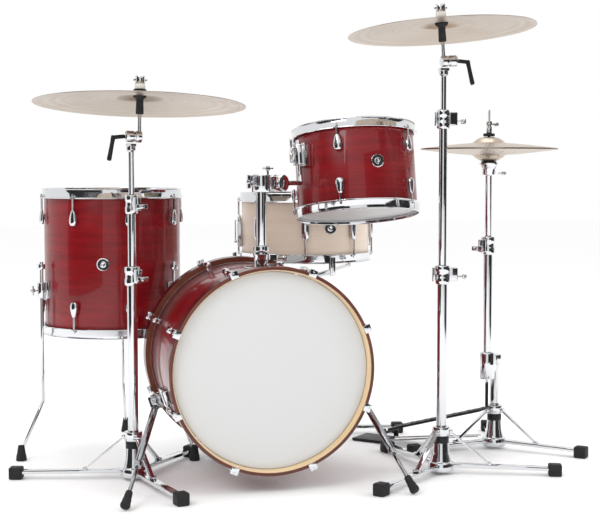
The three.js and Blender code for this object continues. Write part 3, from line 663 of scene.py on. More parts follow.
EAR_DROP = 11.2                                  # the hoop's ears sit this far under the shell's edge
FLATTER = Matrix.Diagonal((0.62, 1, 1, 1))       # a lug stands out less than it is wide


def drum(name, matrix, body, size, material, slot, tall_lugs=False):
    radius, half, count, first = size["radius"], size["half"], size["lugs"], size["first_lug"]
    body_shell = shell(f"{name}_drum_shell", radius, half, size["wall"])
    smoothed(body_shell)
    placed(body_shell, matrix, material, body, slot, f"{name}_shell")
    lug_line = radius + 9
    rod_low = 26 if tall_lugs else half - (62 if half > 150 else 48) + 14
    for end, place in ((matrix, "top"), (half_turn(matrix), "bottom")):
        turned_first = first if place == "top" else -first
        skin = head(f"{name}_{place}_film", radius, half, 8)
        smoothed(skin)
        placed(skin, end, film, body, "drum_head", f"{name}_{place}_head")
        placed(triple_flange(f"{name}_{place}_flanged_hoop", radius, half), end, chrome, body, "chrome",
               f"{name}_{place}_hoop")
        ear = half - EAR_DROP
        tab = moved(casting("tab", (9, 17, 3.2), 0.9, 0.8), at(lug_line - 0.5, 0, ear))
        washer = moved(turned("washer", [(4.6, ear + 1.7), (4.6, ear + 2.8)], 20), at(lug_line, 0, 0))
        key = moved(rounded(turned("key", [(3.7, ear + 2.8), (3.7, ear + 4.4), (3, ear + 4.8),
                                           (3, ear + 9.6)], 4), 0.3), at(lug_line, 0, 0))
        shank = moved(turned("shank", [(2.7, rod_low), (2.7, ear)], 14), at(lug_line, 0, 0))
        fitting = joined("fitting", [tab, washer, key, shank])
        ringed(f"{name}_{place}_tension_rods", around(fitting, count, turned_first), body, "chrome", chrome,
               end)
    if tall_lugs:
        oval = turned("oval", [(2.5, -33), (6.5, -31), (9.6, -22), (11, -8), (11, 8), (9.6, 22), (6.5, 31),
                               (2.5, 33)], 28)
        moved(oval, FLATTER)
        only(oval)
        bpy.ops.object.shade_smooth()
        seat = casting("seat", (9, 13, 44), 0.8, 2)
        pattern = joined("pattern", [moved(oval, at(lug_line - 1.6, 0, 0)),
                                     moved(seat, at(radius + 3.6, 0, 0))])
        ringed(f"{name}_lugs", around(pattern, count, first), body, "chrome", chrome, matrix)
        return
    tear = rounded(turned("tear", [(3, -19.6), (7.4, -18), (10.2, -13), (11, -7), (10.4, 0), (8.4, 8),
                                   (6.6, 14), (5.4, 18), (3.6, 19.6)], 28), 0.3)
    moved(tear, FLATTER)
    seat = moved(casting("seat", (9, 13, 24), 0.8, 1.4), at(-5.6, 0, -3))
    pattern = moved(joined("pattern", [tear, seat]), at(lug_line, 0, rod_low - 14))
    twins = around(pattern, count, first)
    lower = [copied(twin, MIRRORED) for twin in twins]
    righted(ringed(f"{name}_lugs", twins + lower, body, "chrome", chrome, matrix))


RACK_TOM = {"radius": 152.4, "half": 101.5, "wall": 6.5, "lugs": 5, "first_lug": -122}
FLOOR_TOM = {"radius": 177.8, "half": 178, "wall": 6.5, "lugs": 8, "first_lug": -129}
SNARE = {"radius": 177.8, "half": 82.5, "wall": 7, "lugs": 8, "first_lug": -60}
drum("rack_tom", rack, "rack_tom", RACK_TOM, lacquered("rack_tom_lacquer", rack, *CHERRY), "cherry_lacquer")
badge("rack_tom_badge", RACK_TOM["radius"], -86, 4, rack, "rack_tom")
floor_tom = Matrix.Translation((middle("floor_tom_top_head") + middle("floor_tom_bottom_head")) / 2)
drum("floor_tom", floor_tom, "kit", FLOOR_TOM, lacquered("floor_tom_lacquer", floor_tom, *CHERRY),
     "cherry_lacquer")
badge("floor_tom_badge", FLOOR_TOM["radius"], -105, 0, floor_tom, "kit")
snare = Matrix.Translation((middle("snare_top_head") + middle("snare_bottom_head")) / 2)
PALE_MAPLE = ((0.78, 0.64, 0.52), (0.85, 0.73, 0.61), (0.89, 0.79, 0.69))
drum("snare", snare, "snare", SNARE, lacquered("snare_maple", snare, *PALE_MAPLE, coat=0.3), "maple",
     tall_lugs=True)
badge("snare_badge", SNARE["radius"], -82.5, 0, snare, "snare")

# ---- Rack tom bracket -------------------------------------------------------------------------------------
# A cast bracket is bolted to the shell's left side. Its jaw is a bored tube that the arm runs up through,
# and two wing bolts pinch it.
bracket = moved(casting("bracket", (22, 38, 58), 0.86, 2.5), at(RACK_TOM["radius"] + 10, 0, 36))
jaw = moved(rounded(turned("jaw", [(7.2, 11), (12.5, 11), (13.5, 13), (13.5, 59), (12.5, 61), (7.2, 61)], 32,
                           hollow=True), 0.6), at(SOCKET["line"], 0, 0))
wings_here = [moved(wing("bolt", 13, 4, 9), at(SOCKET["line"] + 15, 0, z) @ turn(90, "X")) for z in (22, 50)]
holder = joined("rack_tom_bracket", [bracket, jaw, *wings_here])
placed(holder, rack @ turn(SOCKET["angle"]), chrome, "rack_tom", "chrome")

# ---- Floor tom legs ---------------------------------------------------------------------------------------
# Three bent steel rods in cast brackets, each with a wing screw, a memory lock near its top, and a rubber
# foot. The rods bend outwards a hand's breadth above the floor.
LEG_LINE = 197.8                                 # the rods' distance from the drum's axis
BRACKET_HEIGHT, BEND_HEIGHT, FOOT_LINE = -72, 150, 258
for i, angle in enumerate((195.5, 315.5, 75.5)):
    leg_frame = floor_tom @ turn(angle)
    ground = -floor_tom.translation.z / MM
    block_ = moved(casting("block", (20, 29, 45), 0.88, 2.2), at(183, 0, BRACKET_HEIGHT))
    grip = moved(rounded(turned("grip", [(5.4, -92), (10.5, -92), (11.5, -90), (11.5, -54), (10.5, -52),
                                         (5.4, -52)], 32, hollow=True), 0.6), at(LEG_LINE, 0, 0))
    screw = moved(wing("screw", 13, 4, 10), at(LEG_LINE + 24, 0, BRACKET_HEIGHT) @ turn(90, "X"))
    holder = joined(f"floor_tom_leg_bracket_{i + 1}", [block_, grip, screw])
    placed(holder, leg_frame, chrome, "kit", "chrome")

    def on_leg(radial, height, where=leg_frame):
        return where @ Vector((radial * MM, 0, height * MM))

    bend = on_leg(LEG_LINE, ground + BEND_HEIGHT)
    elbow_ball = ball(bend, 4.9)
    lock = rounded(turned("lock", [(5, -17), (9.5, -17), (10, -16), (10, -5), (9.5, -4), (5, -4)], 28,
                          hollow=True), 0.4)
    leg = joined(f"floor_tom_leg_rod_{i + 1}", [
        stick_between("upper", on_leg(LEG_LINE, 1.5), bend, 4.9), elbow_ball,
        stick_between("lower", bend, on_leg(FOOT_LINE - 1, ground + 26), 4.9),
        moved(lock, leg_frame @ at(LEG_LINE, 0, 0))])
    fit(painted(leg, chrome), f"floor_tom_leg_{i + 1}", "chrome", f"floor_tom_leg_{i + 1}")
    boot = rounded(turned("boot", [(12.5, 0.2), (13.8, 1.6), (13.8, 7), (12.6, 8), (13.4, 10), (11, 20),
                                   (9, 34), (8, 40), (5, 40.5)], 32), 0.5)
    placed(boot, leg_frame @ at(FOOT_LINE, 0, ground), rubber, f"floor_tom_leg_{i + 1}", "rubber")
    boot.name = f"floor_tom_leg_foot_{i + 1}"

# ---- Snare strainer and wires -----------------------------------------------------------------------------
# The throw-off lever at the left loosens twenty steel wires under the bottom head, held by two
# solder plates; a butt plate holds their far end.
STRAINER_ANGLE = 172
strainer_frame = snare @ turn(STRAINER_ANGLE)
body_casting = moved(casting("strainer", (15, 23, 68), 0.86, 2), at(SNARE["radius"] + 7, 0, -22))
placed(body_casting, strainer_frame, chrome, "snare", "chrome").name = "snare_strainer_body"
butt = moved(casting("butt", (12, 22, 30), 0.86, 2), at(SNARE["radius"] + 5, 0, -40))
placed(butt, snare @ turn(STRAINER_ANGLE + 180), chrome, "snare", "chrome").name = "snare_butt_plate"
handle = moved(casting("handle", (4, 10, 58), 0.7, 1.2), at(0, 0, 32))
pin = moved(rounded(turned("pin", [(3.4, -12.5), (4, -11.8), (4, 11.8), (3.4, 12.5)], 20), 0.2),
            turn(90, "X"))
lever = joined("snare_strainer_handle", [handle, pin])
placed(lever, strainer_frame @ at(SNARE["radius"] + 19, 0, -42), chrome, "snare_lever", "chrome",
       "snare_strainer_lever")
steel = surfaced("satin_steel", (0.56, 0.57, 0.59), 1, 0.22, 0.36, 60)
wire_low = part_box("snare_wires")[0][2] / MM - snare.translation.z / MM
strands = []
for i in range(20):
    strand = turned("strand", [(0.55, -128), (0.55, 128)], 6)
    strands.append(moved(strand, at(0, -19 + 2 * i, wire_low + 2.0) @ turn(90, "Y")))
for side in (-1, 1):
    strands.append(moved(casting("solder_plate", (2.2, 47, 13), 0.95, 0.4),
                         at(side * 134, 0, wire_low + 1.3) @ turn(90, "Y")))
wires = joined("snare_wire_strands", strands)
placed(wires, strainer_frame, steel, "snare", "steel", "snare_wires")

# ---- Flat-base stands -------------------------------------------------------------------------------------
# Every stand stands on three flat legs of folded steel strip. Thin struts brace them to a collar on the
# tube, a bolt holds each joint, and each leg ends in a black rubber boot.


def strip(name, start, end, width, thick, channel=True):
    """A pressed steel strip from one point to another, its underside hollowed like a channel."""
    length = (Vector(end) - Vector(start)).length / MM
    bpy.ops.object.select_all(action="DESELECT")
    bpy.ops.mesh.primitive_cube_add(size=1)
    piece = bpy.context.object
    piece.name = name
    bpy.ops.object.mode_set(mode="EDIT")
    bpy.ops.mesh.select_all(action="SELECT")
    bpy.ops.transform.resize(value=(width * MM, thick * MM, length * MM), center_override=(0, 0, 0))
    bpy.ops.transform.translate(value=(0, 0, length / 2 * MM))
    if channel:
        bpy.ops.mesh.select_all(action="DESELECT")
        form = bmesh.from_edit_mesh(piece.data)
        for face in form.faces:
            face.select_set(face.normal.y > 0.9)
        bmesh.update_edit_mesh(piece.data)
        bpy.ops.mesh.inset(thickness=1.8 * MM)
        bpy.ops.mesh.extrude_region_move(TRANSFORM_OT_translate={"value": (0, -(thick - 2) * MM, 0)})
    bpy.ops.object.mode_set(mode="OBJECT")
    return moved(rounded(piece, 0.8, 2, 30), along(start, end))


BOOT = 36                                        # length of a rubber boot


def boot_on(name, tip, angle):
    boot = casting("boot", (BOOT, 30, 29.6), 0.9, 4)
    placed(boot, tip @ turn(angle) @ at(0, 0, 15), rubber, "kit", "rubber").name = name


def flat_base(name, node, hub, legs, reach):
    def spot(radius, angle, height):
        return hub @ turn(angle) @ Vector((radius * MM, 0, height * MM))

    foot = rounded(turned("foot", [(12.9, 8), (29, 8), (32, 11), (32, 27), (30, 30), (26, 32), (21, 52),
                                   (19, 78), (12.9, 78)], 48, hollow=True), 0.8)
    collar_ = rounded(turned("collar", [(12.9, 96), (21, 96), (22, 97), (22, 117), (20.5, 118),
                                        (12.9, 118)], 48, hollow=True), 0.5)
    pieces = [moved(foot, hub), moved(collar_, hub)]
    for angle in legs:
        pieces.append(strip("leg", spot(24, angle, 22), spot(reach - BOOT + 8, angle, 17.5), 22, 8.6))
        pieces.append(strip("strut", spot(20, angle, 107), spot(120, angle, 24), 13, 4.6, channel=False))
        for radius, height in ((24, 106), (119, 27)):
            bolt = rounded(turned("bolt", [(4.5, -9), (4.5, 9)], 6), 0.4)
            pieces.append(moved(bolt, hub @ turn(angle) @ at(radius, 0, height) @ turn(90, "X")))
    base = joined(f"{name}_tripod", pieces)
    fit(painted(base, chrome), "kit", "chrome", node)
    band_ = rounded(turned("band", [(13, 78.2), (18.4, 78.2), (18.9, 79), (18.9, 95), (13, 95.8)], 40,
                           hollow=True), 0.3)
    placed(band_, hub, black_coat, "kit", "black").name = f"{name}_collar_ring"
    for i, angle in enumerate(legs):
        boot_on(f"{name}_boot_{i + 1}", hub @ turn(angle) @ at(reach - BOOT / 2, 0, 0) @ turn(-angle), angle)


def tube_with_clamp(name, node, hub, low, high, outer, wing_angle, body):
    """A drawn tube whose hinged clamp grips the next tube up; a wing screw pulls the clamp shut."""
    inner = outer - 2.1
    grip = outer + 6
    tube_ = turned("tube", [(inner, low), (outer - 0.3, low), (outer, low + 1), (outer, high - 2),
                            (inner, high - 2)], 40, hollow=True)
    smoothed(tube_, 40)
    collar_ = rounded(turned("collar", [(outer, high - 46), (grip - 2, high - 46), (grip, high - 42),
                                        (grip, high - 30), (grip - 1.5, high - 28), (grip - 1.5, high - 16),
                                        (grip, high - 14), (grip, high - 2), (grip - 1.5, high),
                                        (inner, high), (inner, high - 4), (outer, high - 5)], 40,
                             hollow=True), 0.5)
    ear_ = moved(casting("ear", (24, 16, 33), 0.8, 2.2), at(grip + 9, 0, high - 22))
    hinge = moved(rounded(turned("hinge", [(4.2, -17), (4.6, -16), (4.6, 16), (4.2, 17)], 20), 0.3),
                  at(-grip - 2, 0, high - 22))
    screw_ = moved(wing("screw", 15, 4, 12), at(grip + 36, 0, high - 28))
    whole = joined(name, [tube_, collar_, moved(joined("clasp", [ear_, hinge, screw_]), turn(wing_angle))])
    return placed(whole, hub, chrome, body, "chrome", node)


# ---- Cymbals ----------------------------------------------------------------------------------------------
# Spun and hammered bronze with a raised bell, lathed in fine rings on both faces. Wear shows as slightly
# darker bands; the edge is left thin.


def lathed_group():
    tree, given, out = group("lathed_rings", [("NodeSocketVector", "Place")],
                             [("NodeSocketFloat", "Rings"), ("NodeSocketColor", "Colour")])
    flat = tree.nodes.new("ShaderNodeVectorMath")
    flat.operation = "MULTIPLY"
    flat.inputs[1].default_value = (1, 1, 0)
    reach = tree.nodes.new("ShaderNodeVectorMath")
    reach.operation = "LENGTH"
    rings = tree.nodes.new("ShaderNodeMath")
    rings.operation = "MULTIPLY"
    rings.inputs[1].default_value = 2600
    wave = tree.nodes.new("ShaderNodeMath")
    wave.operation = "SINE"
    bands = tree.nodes.new("ShaderNodeTexNoise")
    bands.noise_dimensions = "1D"
    bands.inputs["Scale"].default_value = 70
    bands.inputs["Detail"].default_value = 6
    tone = tree.nodes.new("ShaderNodeValToRGB")
    tone.color_ramp.elements[0].position = 0.32
    tone.color_ramp.elements[0].color = (0.47, 0.385, 0.31, 1)
    tone.color_ramp.elements[1].position = 0.68
    tone.color_ramp.elements[1].color = (0.55, 0.465, 0.385, 1)
    wire = tree.links.new
    wire(given.outputs["Place"], flat.inputs[0])
    wire(flat.outputs["Vector"], reach.inputs[0])
    wire(reach.outputs["Value"], rings.inputs[0])
    wire(rings.outputs["Value"], wave.inputs[0])
    wire(reach.outputs["Value"], bands.inputs["W"])
    wire(bands.outputs["Fac"], tone.inputs["Fac"])
    wire(wave.outputs["Value"], out.inputs["Rings"])
    wire(tone.outputs["Color"], out.inputs["Colour"])
    return tree


lathed = lathed_group()


def bronze(name, matrix):
    material = surfaced(name, (0.62, 0.48, 0.34), 0.92, 0.30, 0.36, 10)
    nodes = material.node_tree.nodes
    wire = material.node_tree.links.new
    shader = nodes["Principled BSDF"]
    place = nodes.new("ShaderNodeTexCoord")
    centred = nodes.new("ShaderNodeMapping")
    inverse = matrix.inverted()
    centred.inputs["Location"].default_value = inverse.translation
    centred.inputs["Rotation"].default_value = inverse.to_euler()
    turning = nodes.new("ShaderNodeGroup")
    turning.node_tree = lathed
    bump = nodes.new("ShaderNodeBump")
    bump.inputs["Strength"].default_value = 0.25
    bump.inputs["Distance"].default_value = 0.0002
    wire(place.outputs["Object"], centred.inputs["Vector"])
    wire(centred.outputs["Vector"], turning.inputs["Place"])
    wire(turning.outputs["Colour"], shader.inputs["Base Color"])
    wire(turning.outputs["Rings"], bump.inputs["Height"])
    wire(bump.outputs["Normal"], shader.inputs["Normal"])
    return material


def cymbal(name, node, matrix, body, radius, rise, bell, flip=False, hole=5.6):
    """The bow and bell of a cymbal, edge at height 0, bell top at rise + bell."""
    bell_radius = radius * 0.235
    upper = [(hole, rise + bell), (bell_radius * 0.3, rise + bell * 0.98),
             (bell_radius * 0.6, rise + bell * 0.82), (bell_radius * 0.85, rise + bell * 0.42),
             (bell_radius, rise + 0.6), (bell_radius * 1.12, rise - 0.5), (radius * 0.42, rise * 0.84),
             (radius * 0.62, rise * 0.57), (radius * 0.82, rise * 0.27), (radius, 0)]
    lower = [(r, z - 1.4) for r, z in reversed(upper)]
    plate_ = turned(name, upper + lower, 128, hollow=True)
    smoothed(plate_, 40)
    here = matrix @ turn(180, "X") if flip else matrix
    placed(plate_, here, bronze(f"{name}_bronze", here), body, "bronze", node)


# ---- Ride and crash stands --------------------------------------------------------------------------------
# Two tubes and a rod slide in each other on a flat base. The tilter on top is a toothed joint with a
# black lever, and the cymbal rocks between felts on its rod, under a chrome cap.
felt_pale = surfaced("pale_felt", (0.62, 0.60, 0.56), 0, 0.85, 0.95, 90)
felt_black = surfaced("black_felt", (0.02, 0.02, 0.022), 0, 0.85, 0.95, 90)


def cymbal_stand(name, size):
    """The lever is left (-1) or right (1) of the tilter, whose axis is offset from the tubes' own."""
    lower_top, middle_top, rod_top = size["tops"]
    lean_back, lean_right = size["lean"]
    radius, rise, bell = size["cymbal"]
    lever_side = size["lever_side"]
    pivot = joint_place(f"{name}_tilt")
    hub = Matrix.Translation((pivot.x - size["offset"] * MM, pivot.y, 0))
    flat_base(f"{name}_base", f"{name}_stand_base", hub, size["legs"], size["reach"])
    tube_with_clamp(f"{name}_lower_section", f"{name}_lower_tube", hub, 12, lower_top, 12.5,
                    size["wings"][0], "kit")
    tube_with_clamp(f"{name}_middle_section", f"{name}_middle_tube", hub, lower_top - 150, middle_top, 9.9,
                    size["wings"][1], f"{name}_middle")
    rod_ = rounded(turned("rod", [(6.6, middle_top - 138), (7, middle_top - 136), (7, rod_top - 16),
                                  (9, rod_top - 14), (11.6, rod_top - 12), (11.6, rod_top - 2),
                                  (9, rod_top)], 32), 0.4)
    fork = moved(casting("fork", (8.6, 19, 23), 0.9, 1.2), at(0, 0, rod_top + 0.4) @ turn(-90, "Y"))
    upper = joined(f"{name}_upper_section", [rod_, fork])
    placed(upper, hub, chrome, f"{name}_upper", "chrome", f"{name}_upper_rod")

    tilt = Matrix.Translation(pivot) @ Euler(
        (math.radians(-lean_back), math.radians(lean_right), 0)).to_matrix().to_4x4()
    seat = (joint_place(f"{name}_cymbal_rock") - pivot).length / MM
    cog = rounded(turned("cog", [(11, -6.6), (13.8, -5), (13.8, 8), (12.2, 9), (12.2, 13), (13.8, 14),
                                 (13.8, 31), (10, 34.4)], 30), 0.4)
    stem = rounded(turned("stem", [(4.6, 0), (4.6, seat - 36), (4, seat - 34), (3.8, seat + 39),
                                   (3, seat + 40.6)], 24), 0.3)
    joint_ = joined(f"{name}_tilter_joint", [moved(cog, turn(90 * lever_side, "Y")), stem])
    placed(joint_, tilt, chrome, f"{name}_tilter", "chrome", f"{name}_tilter")
    knob = moved(turned("knob", [(3.6, 0), (4.8, 2), (4.8, 26), (3.8, 28)], 24),
                 along((lever_side * 0.0345, 0, 0), (lever_side * 0.062, 0, -0.0035)))
    handle_ = moved(turned("handle", [(4.4, -4), (5.8, -1), (5, 14), (5.4, 40), (5.8, 53), (4.2, 57)], 24),
                    along((lever_side * 0.062, 0, -0.003), (lever_side * 0.0716, 0, -0.06)))
    lever_ = joined(f"{name}_tilter_lever", [knob, handle_])
    smoothed(lever_, 40)
    placed(lever_, tilt, black_coat, f"{name}_tilter", "black")
    sleeve_ = rounded(turned("sleeve", [(4.8, seat - 53.6), (8.6, seat - 53.6), (9.6, seat - 52),
                                        (8.6, seat - 18), (14.5, seat - 13.6), (16, seat - 12),
                                        (16, seat - 6.4), (14.6, seat - 4.8), (4.8, seat - 4.8)], 36,
                             hollow=True), 0.4)
    placed(sleeve_, tilt, felt_black, f"{name}_tilter", "black").name = f"{name}_seat_sleeve"
    washer_ = rounded(turned("washer", [(4.8, seat + 2.8), (14.5, seat + 2.8), (15.5, seat + 3.4),
                                        (15.5, seat + 5.4), (14, seat + 6), (4.8, seat + 6)], 36,
                             hollow=True), 0.3)
    placed(washer_, tilt, felt_black, f"{name}_tilter", "black", f"{name}_wing_nut")
    washer_.name = f"{name}_top_washer"
    felt_ = rounded(turned("felt", [(4.8, seat + 6.2), (12, seat + 6.2), (12.8, seat + 8), (12.8, seat + 17),
                                    (12, seat + 18.6), (4.8, seat + 18.6)], 36, hollow=True), 0.6)
    placed(felt_, tilt, felt_pale, f"{name}_tilter", "drum_head").name = f"{name}_top_felt"
    cap_ = rounded(turned("cap", [(4.2, seat + 18.8), (11.4, seat + 18.8), (12.4, seat + 20),
                                  (12.4, seat + 36), (11, seat + 38.4), (4.2, seat + 38.4)], 36,
                          hollow=True), 0.6)
    ears_ = [moved(rounded(turned("knob", [(2.4, 0), (3.4, 1), (3.4, 4), (2, 5)], 16), 0.3),
                   at(0, 0, seat + 29) @ turn(90 * side, "Y") @ at(0, 0, 12)) for side in (-1, 1)]
    nut = joined(f"{name}_cap_nut", [cap_, *ears_])
    placed(nut, tilt, chrome, f"{name}_tilter", "chrome")
    cymbal(f"{name}_cymbal_plate", f"{name}_cymbal", tilt @ at(0, 0, seat - rise - bell), f"{name}_cymbal",
           radius, rise, bell)


cymbal_stand("ride", {"legs": (163.7, 283.7, 51), "reach": 306, "tops": (518, 690, 808), "lean": (4, 1.9),
                      "cymbal": (253.6, 16, 15), "wings": (-70, -70), "lever_side": -1, "offset": 20})
cymbal_stand("crash", {"legs": (219.6, 339.6, 99.6), "reach": 298, "tops": (516, 895, 992),
                       "lean": (3.7, -2.7), "cymbal": (228.2, 15, 13), "wings": (-10, 0), "lever_side": 1,
                       "offset": 0})

# ---- Snare stand ------------------------------------------------------------------------------------------
# A short flat-base stand whose basket of three arms holds the snare by its bottom hoop in rubber grips.
# The basket sits on a trunnion at the top of the upper tube.
cradle = joint_place("snare_basket_tilt")
snare_hub = Matrix.Translation((cradle.x, cradle.y, 0))
flat_base("snare_base", "snare_stand_base", snare_hub, (-10, 110, 230), 284)
tube_with_clamp("snare_lower_section", "snare_stand_lower_tube", snare_hub, 12, 330, 12.5, 200, "kit")
riser = rounded(turned("riser", [(9, 231), (9.9, 232), (9.9, 398), (12, 400), (12.6, 402), (12.6, 422),
                                 (9, 424)], 32), 0.4)
trunnion = moved(rounded(turned("trunnion", [(7, -22), (9, -21), (9, 21), (7, 22)], 28), 0.4),
                 at(0, 0, 424) @ turn(90, "Y"))
upper = joined("snare_upper_section", [riser, trunnion])
placed(upper, snare_hub, chrome, "snare_stand_tube", "chrome", "snare_stand_upper_tube")
boss = rounded(turned("boss", [(20, 434), (23.4, 436), (23.4, 453), (20, 456)], 36), 0.8)
arms = [moved(boss, snare_hub)]
for i, angle in enumerate((-84, 36, 156)):
    spoke = snare_hub @ turn(angle)
    arms.append(strip("arm", spoke @ Vector((0.016, 0, 0.446)), spoke @ Vector((0.206, 0, 0.4715)), 13.6,
                      7.6))
    arms.append(moved(casting("upright", (6, 15, 50), 0.9, 1.4), spoke @ at(204.6, 0, 491)))
    pad = casting("pad", (5, 17.6, 34), 0.9, 2)
    placed(pad, spoke @ at(200.2, 0, 499) @ turn(180), rubber, "snare",
           "rubber").name = f"basket_grip_{i + 1}"
basket = joined("snare_basket_arms", arms)
fit(painted(basket, chrome), "snare", "chrome", "snare_stand_basket")

# ---- Hi-hat -----------------------------------------------------------------------------------------------
# Two cymbals face each other on a pull rod. The rod runs down the tube to a chain and the footboard, and a
# cast bracket carries the tube beside the base's own column.
HAT = {"radius": 177.6, "rise": 14, "bell": 16}
hat_middle = middle("hi_hat_top_cymbal")
hat = Matrix.Translation((hat_middle.x, hat_middle.y, 0))
HUB_SHIFT = (48, 60)                             # from the cymbals' axis to the column of the base
hub = hat @ at(*HUB_SHIFT, 0)
flat_base("hi_hat_base", "hi_hat_base", hub, (-45, 72, 188), 262)
column = rounded(turned("column", [(11.6, 12), (12.3, 13), (12.3, 226), (18, 228), (18.8, 230), (18.8, 254),
                                   (17, 256)], 36), 0.5)
main_tube = turned("main", [(9.5, 262), (11.8, 262), (11.9, 263), (11.9, 560), (9.5, 560)], 36, hollow=True)
smoothed(main_tube, 40)
collar_low = rounded(turned("collar_low", [(6.4, 200), (18, 200), (19.8, 203), (19.8, 266), (18, 270),
                                           (11.9, 272), (6.4, 266)], 36, hollow=True), 0.8)
offset_arm = strip("offset", hat @ Vector((0.010, 0.0125, 0.236)), hat @ Vector((0.038, 0.0475, 0.236)), 24,
                   38, False)
collar_top = rounded(turned("collar_top", [(9.5, 528), (16, 528), (18, 532), (18, 546), (16.5, 548),
                                           (16.5, 560), (18, 562), (18, 572), (16.5, 575), (9.5, 575)], 36,
                            hollow=True), 0.5)
clasp = moved(joined("clasp", [moved(casting("ear", (24, 16, 33), 0.8, 2), at(27, 0, 552)),
                               moved(wing("screw", 15, 4, 12), at(54, 0, 546))]), turn(215))
on_axis = [moved(part, hat) for part in (main_tube, collar_low, collar_top, clasp)]
frame_column = joined("hi_hat_column_frame", on_axis + [moved(column, hub), offset_arm])
fit(painted(frame_column, chrome), "kit", "chrome", "hi_hat_column")
seat_tube = rounded(turned("seat_tube", [(6.6, 421), (8.9, 421), (8.9, 735), (16, 736), (17, 738), (17, 752),
                                         (19, 755), (25.4, 766), (25.4, 767.8), (22, 768), (6.6, 766)], 36,
                           hollow=True), 0.4)
tilt_screw = moved(wing("tilt_screw", 11, 3, 9), at(42, 0, 740))
seat_ = joined("hi_hat_seat_tube", [seat_tube, tilt_screw])
placed(seat_, hat, chrome, "kit", "chrome", "hi_hat_upper_tube")
pad = rounded(turned("pad", [(6.8, 768.2), (19, 768.2), (20, 769.4), (20, 771.6), (18, 772.2),
                             (6.8, 772.2)], 36, hollow=True), 0.4)
placed(pad, hat, felt_black, "kit", "black").name = "hi_hat_seat_felt"
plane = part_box("hi_hat_top_cymbal")[0][2] / MM + 1.6
cymbal("hi_hat_top_plate", "hi_hat_top_cymbal", hat @ at(0, 0, plane), "hi_hat_rod", *HAT.values(), hole=6.5)
cymbal("hi_hat_bottom_plate", "hi_hat_bottom_cymbal", hat @ at(0, 0, plane - 3.7), "kit", *HAT.values(),
       flip=True, hole=6.5)
bell_top = plane + HAT["rise"] + HAT["bell"]
rod_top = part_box("hi_hat_pull_rod")[1][2] / MM
pull = turned("pull", [(2.6, 187), (3.1, 188), (3.1, rod_top - 1), (2.4, rod_top)], 20)
clutch = rounded(turned("clutch", [(3.3, bell_top + 9), (7, bell_top + 9), (8, bell_top + 11),
                                   (8, bell_top + 24), (6.4, bell_top + 26), (6.4, bell_top + 30),
                                   (8, bell_top + 32), (8, bell_top + 40), (3.3, bell_top + 40)], 32,
                        hollow=True), 0.4)
clutch_wing = moved(wing("clutch_wing", 9, 4, 8), at(20, 0, bell_top + 33))
rod_piece = joined("hi_hat_rod_and_clutch", [pull, clutch, clutch_wing])
smoothed(rod_piece, 40)
placed(rod_piece, hat, chrome, "hi_hat_rod", "chrome", "hi_hat_pull_rod")
clutch_felt = rounded(turned("clutch_felt", [(3.3, bell_top + 1.2), (14, bell_top + 1.2),
                                             (15, bell_top + 2.4), (15, bell_top + 7.6),
                                             (13.5, bell_top + 8.8), (3.3, bell_top + 8.8)], 36,
                             hollow=True), 0.5)
placed(clutch_felt, hat, felt_black, "hi_hat_rod", "black").name = "hi_hat_clutch_felt"
links = []
for i in range(8):
    roller = rounded(turned("roller", [(3, -4.2), (3.4, -3.4), (3.4, 3.4), (3, 4.2)], 12), 0.2)
    links.append(moved(roller, at(0, 0, 130 + 8 * i) @ turn(90, "X")))
    for side in (-1, 1):
        link = casting("link", (1.2, 5.6, 10.8), 0.95, 0.3)
        links.append(moved(link, at(0, side * 3.6, 130 + 8 * i) @ turn(90)))
chain = joined("hi_hat_chain", links)
placed(chain, hat, black_coat, "hi_hat_rod", "black")

# ---- Hi-hat pedal -----------------------------------------------------------------------------------------
# A long black footboard hinged at the heel plate, with raised treads. Two steel radius rods join the heel
# plate to the stand's column.
heel = joint_place("hi_hat_pedal_press")
toe = Vector((hat_middle.x, hat_middle.y, heel.z + 0.082))
level_run = Vector((toe.x, toe.y, 0)) - Vector((heel.x, heel.y, 0))
heel_frame = Matrix.Translation(heel) @ Matrix.Rotation(math.atan2(level_run.y, level_run.x), 4, "Z")
run = level_run.length
rise_ = toe.z - heel.z


def footboard(name, body, slot, node, here, run_m, rise_m, width, count):
    """A cast plate between heel and toe with cross treads."""
    start = here @ Vector((run_m * 0.03, 0, rise_m * 0.03 + 0.007))
    end = here @ Vector((run_m * 0.985, 0, rise_m * 0.985 + 0.007))
    parts = [strip("board", start, end, width, 6.4, channel=False)]
    slope = math.degrees(math.atan2(rise_m, run_m))
    for i in range(count):
        t = 0.10 + 0.82 * i / (count - 1)
        tread = casting("tread", (1.8, width * (0.82 if i % 2 else 0.6), 5), 0.8, 0.5)
        parts.append(moved(tread, here @ Matrix.Translation((run_m * t, 0, rise_m * t + 0.0108))
                           @ turn(-slope, "Y") @ turn(-90, "Y")))
    board = joined(name, parts)
    return fit(painted(board, black_coat), body, slot, node)


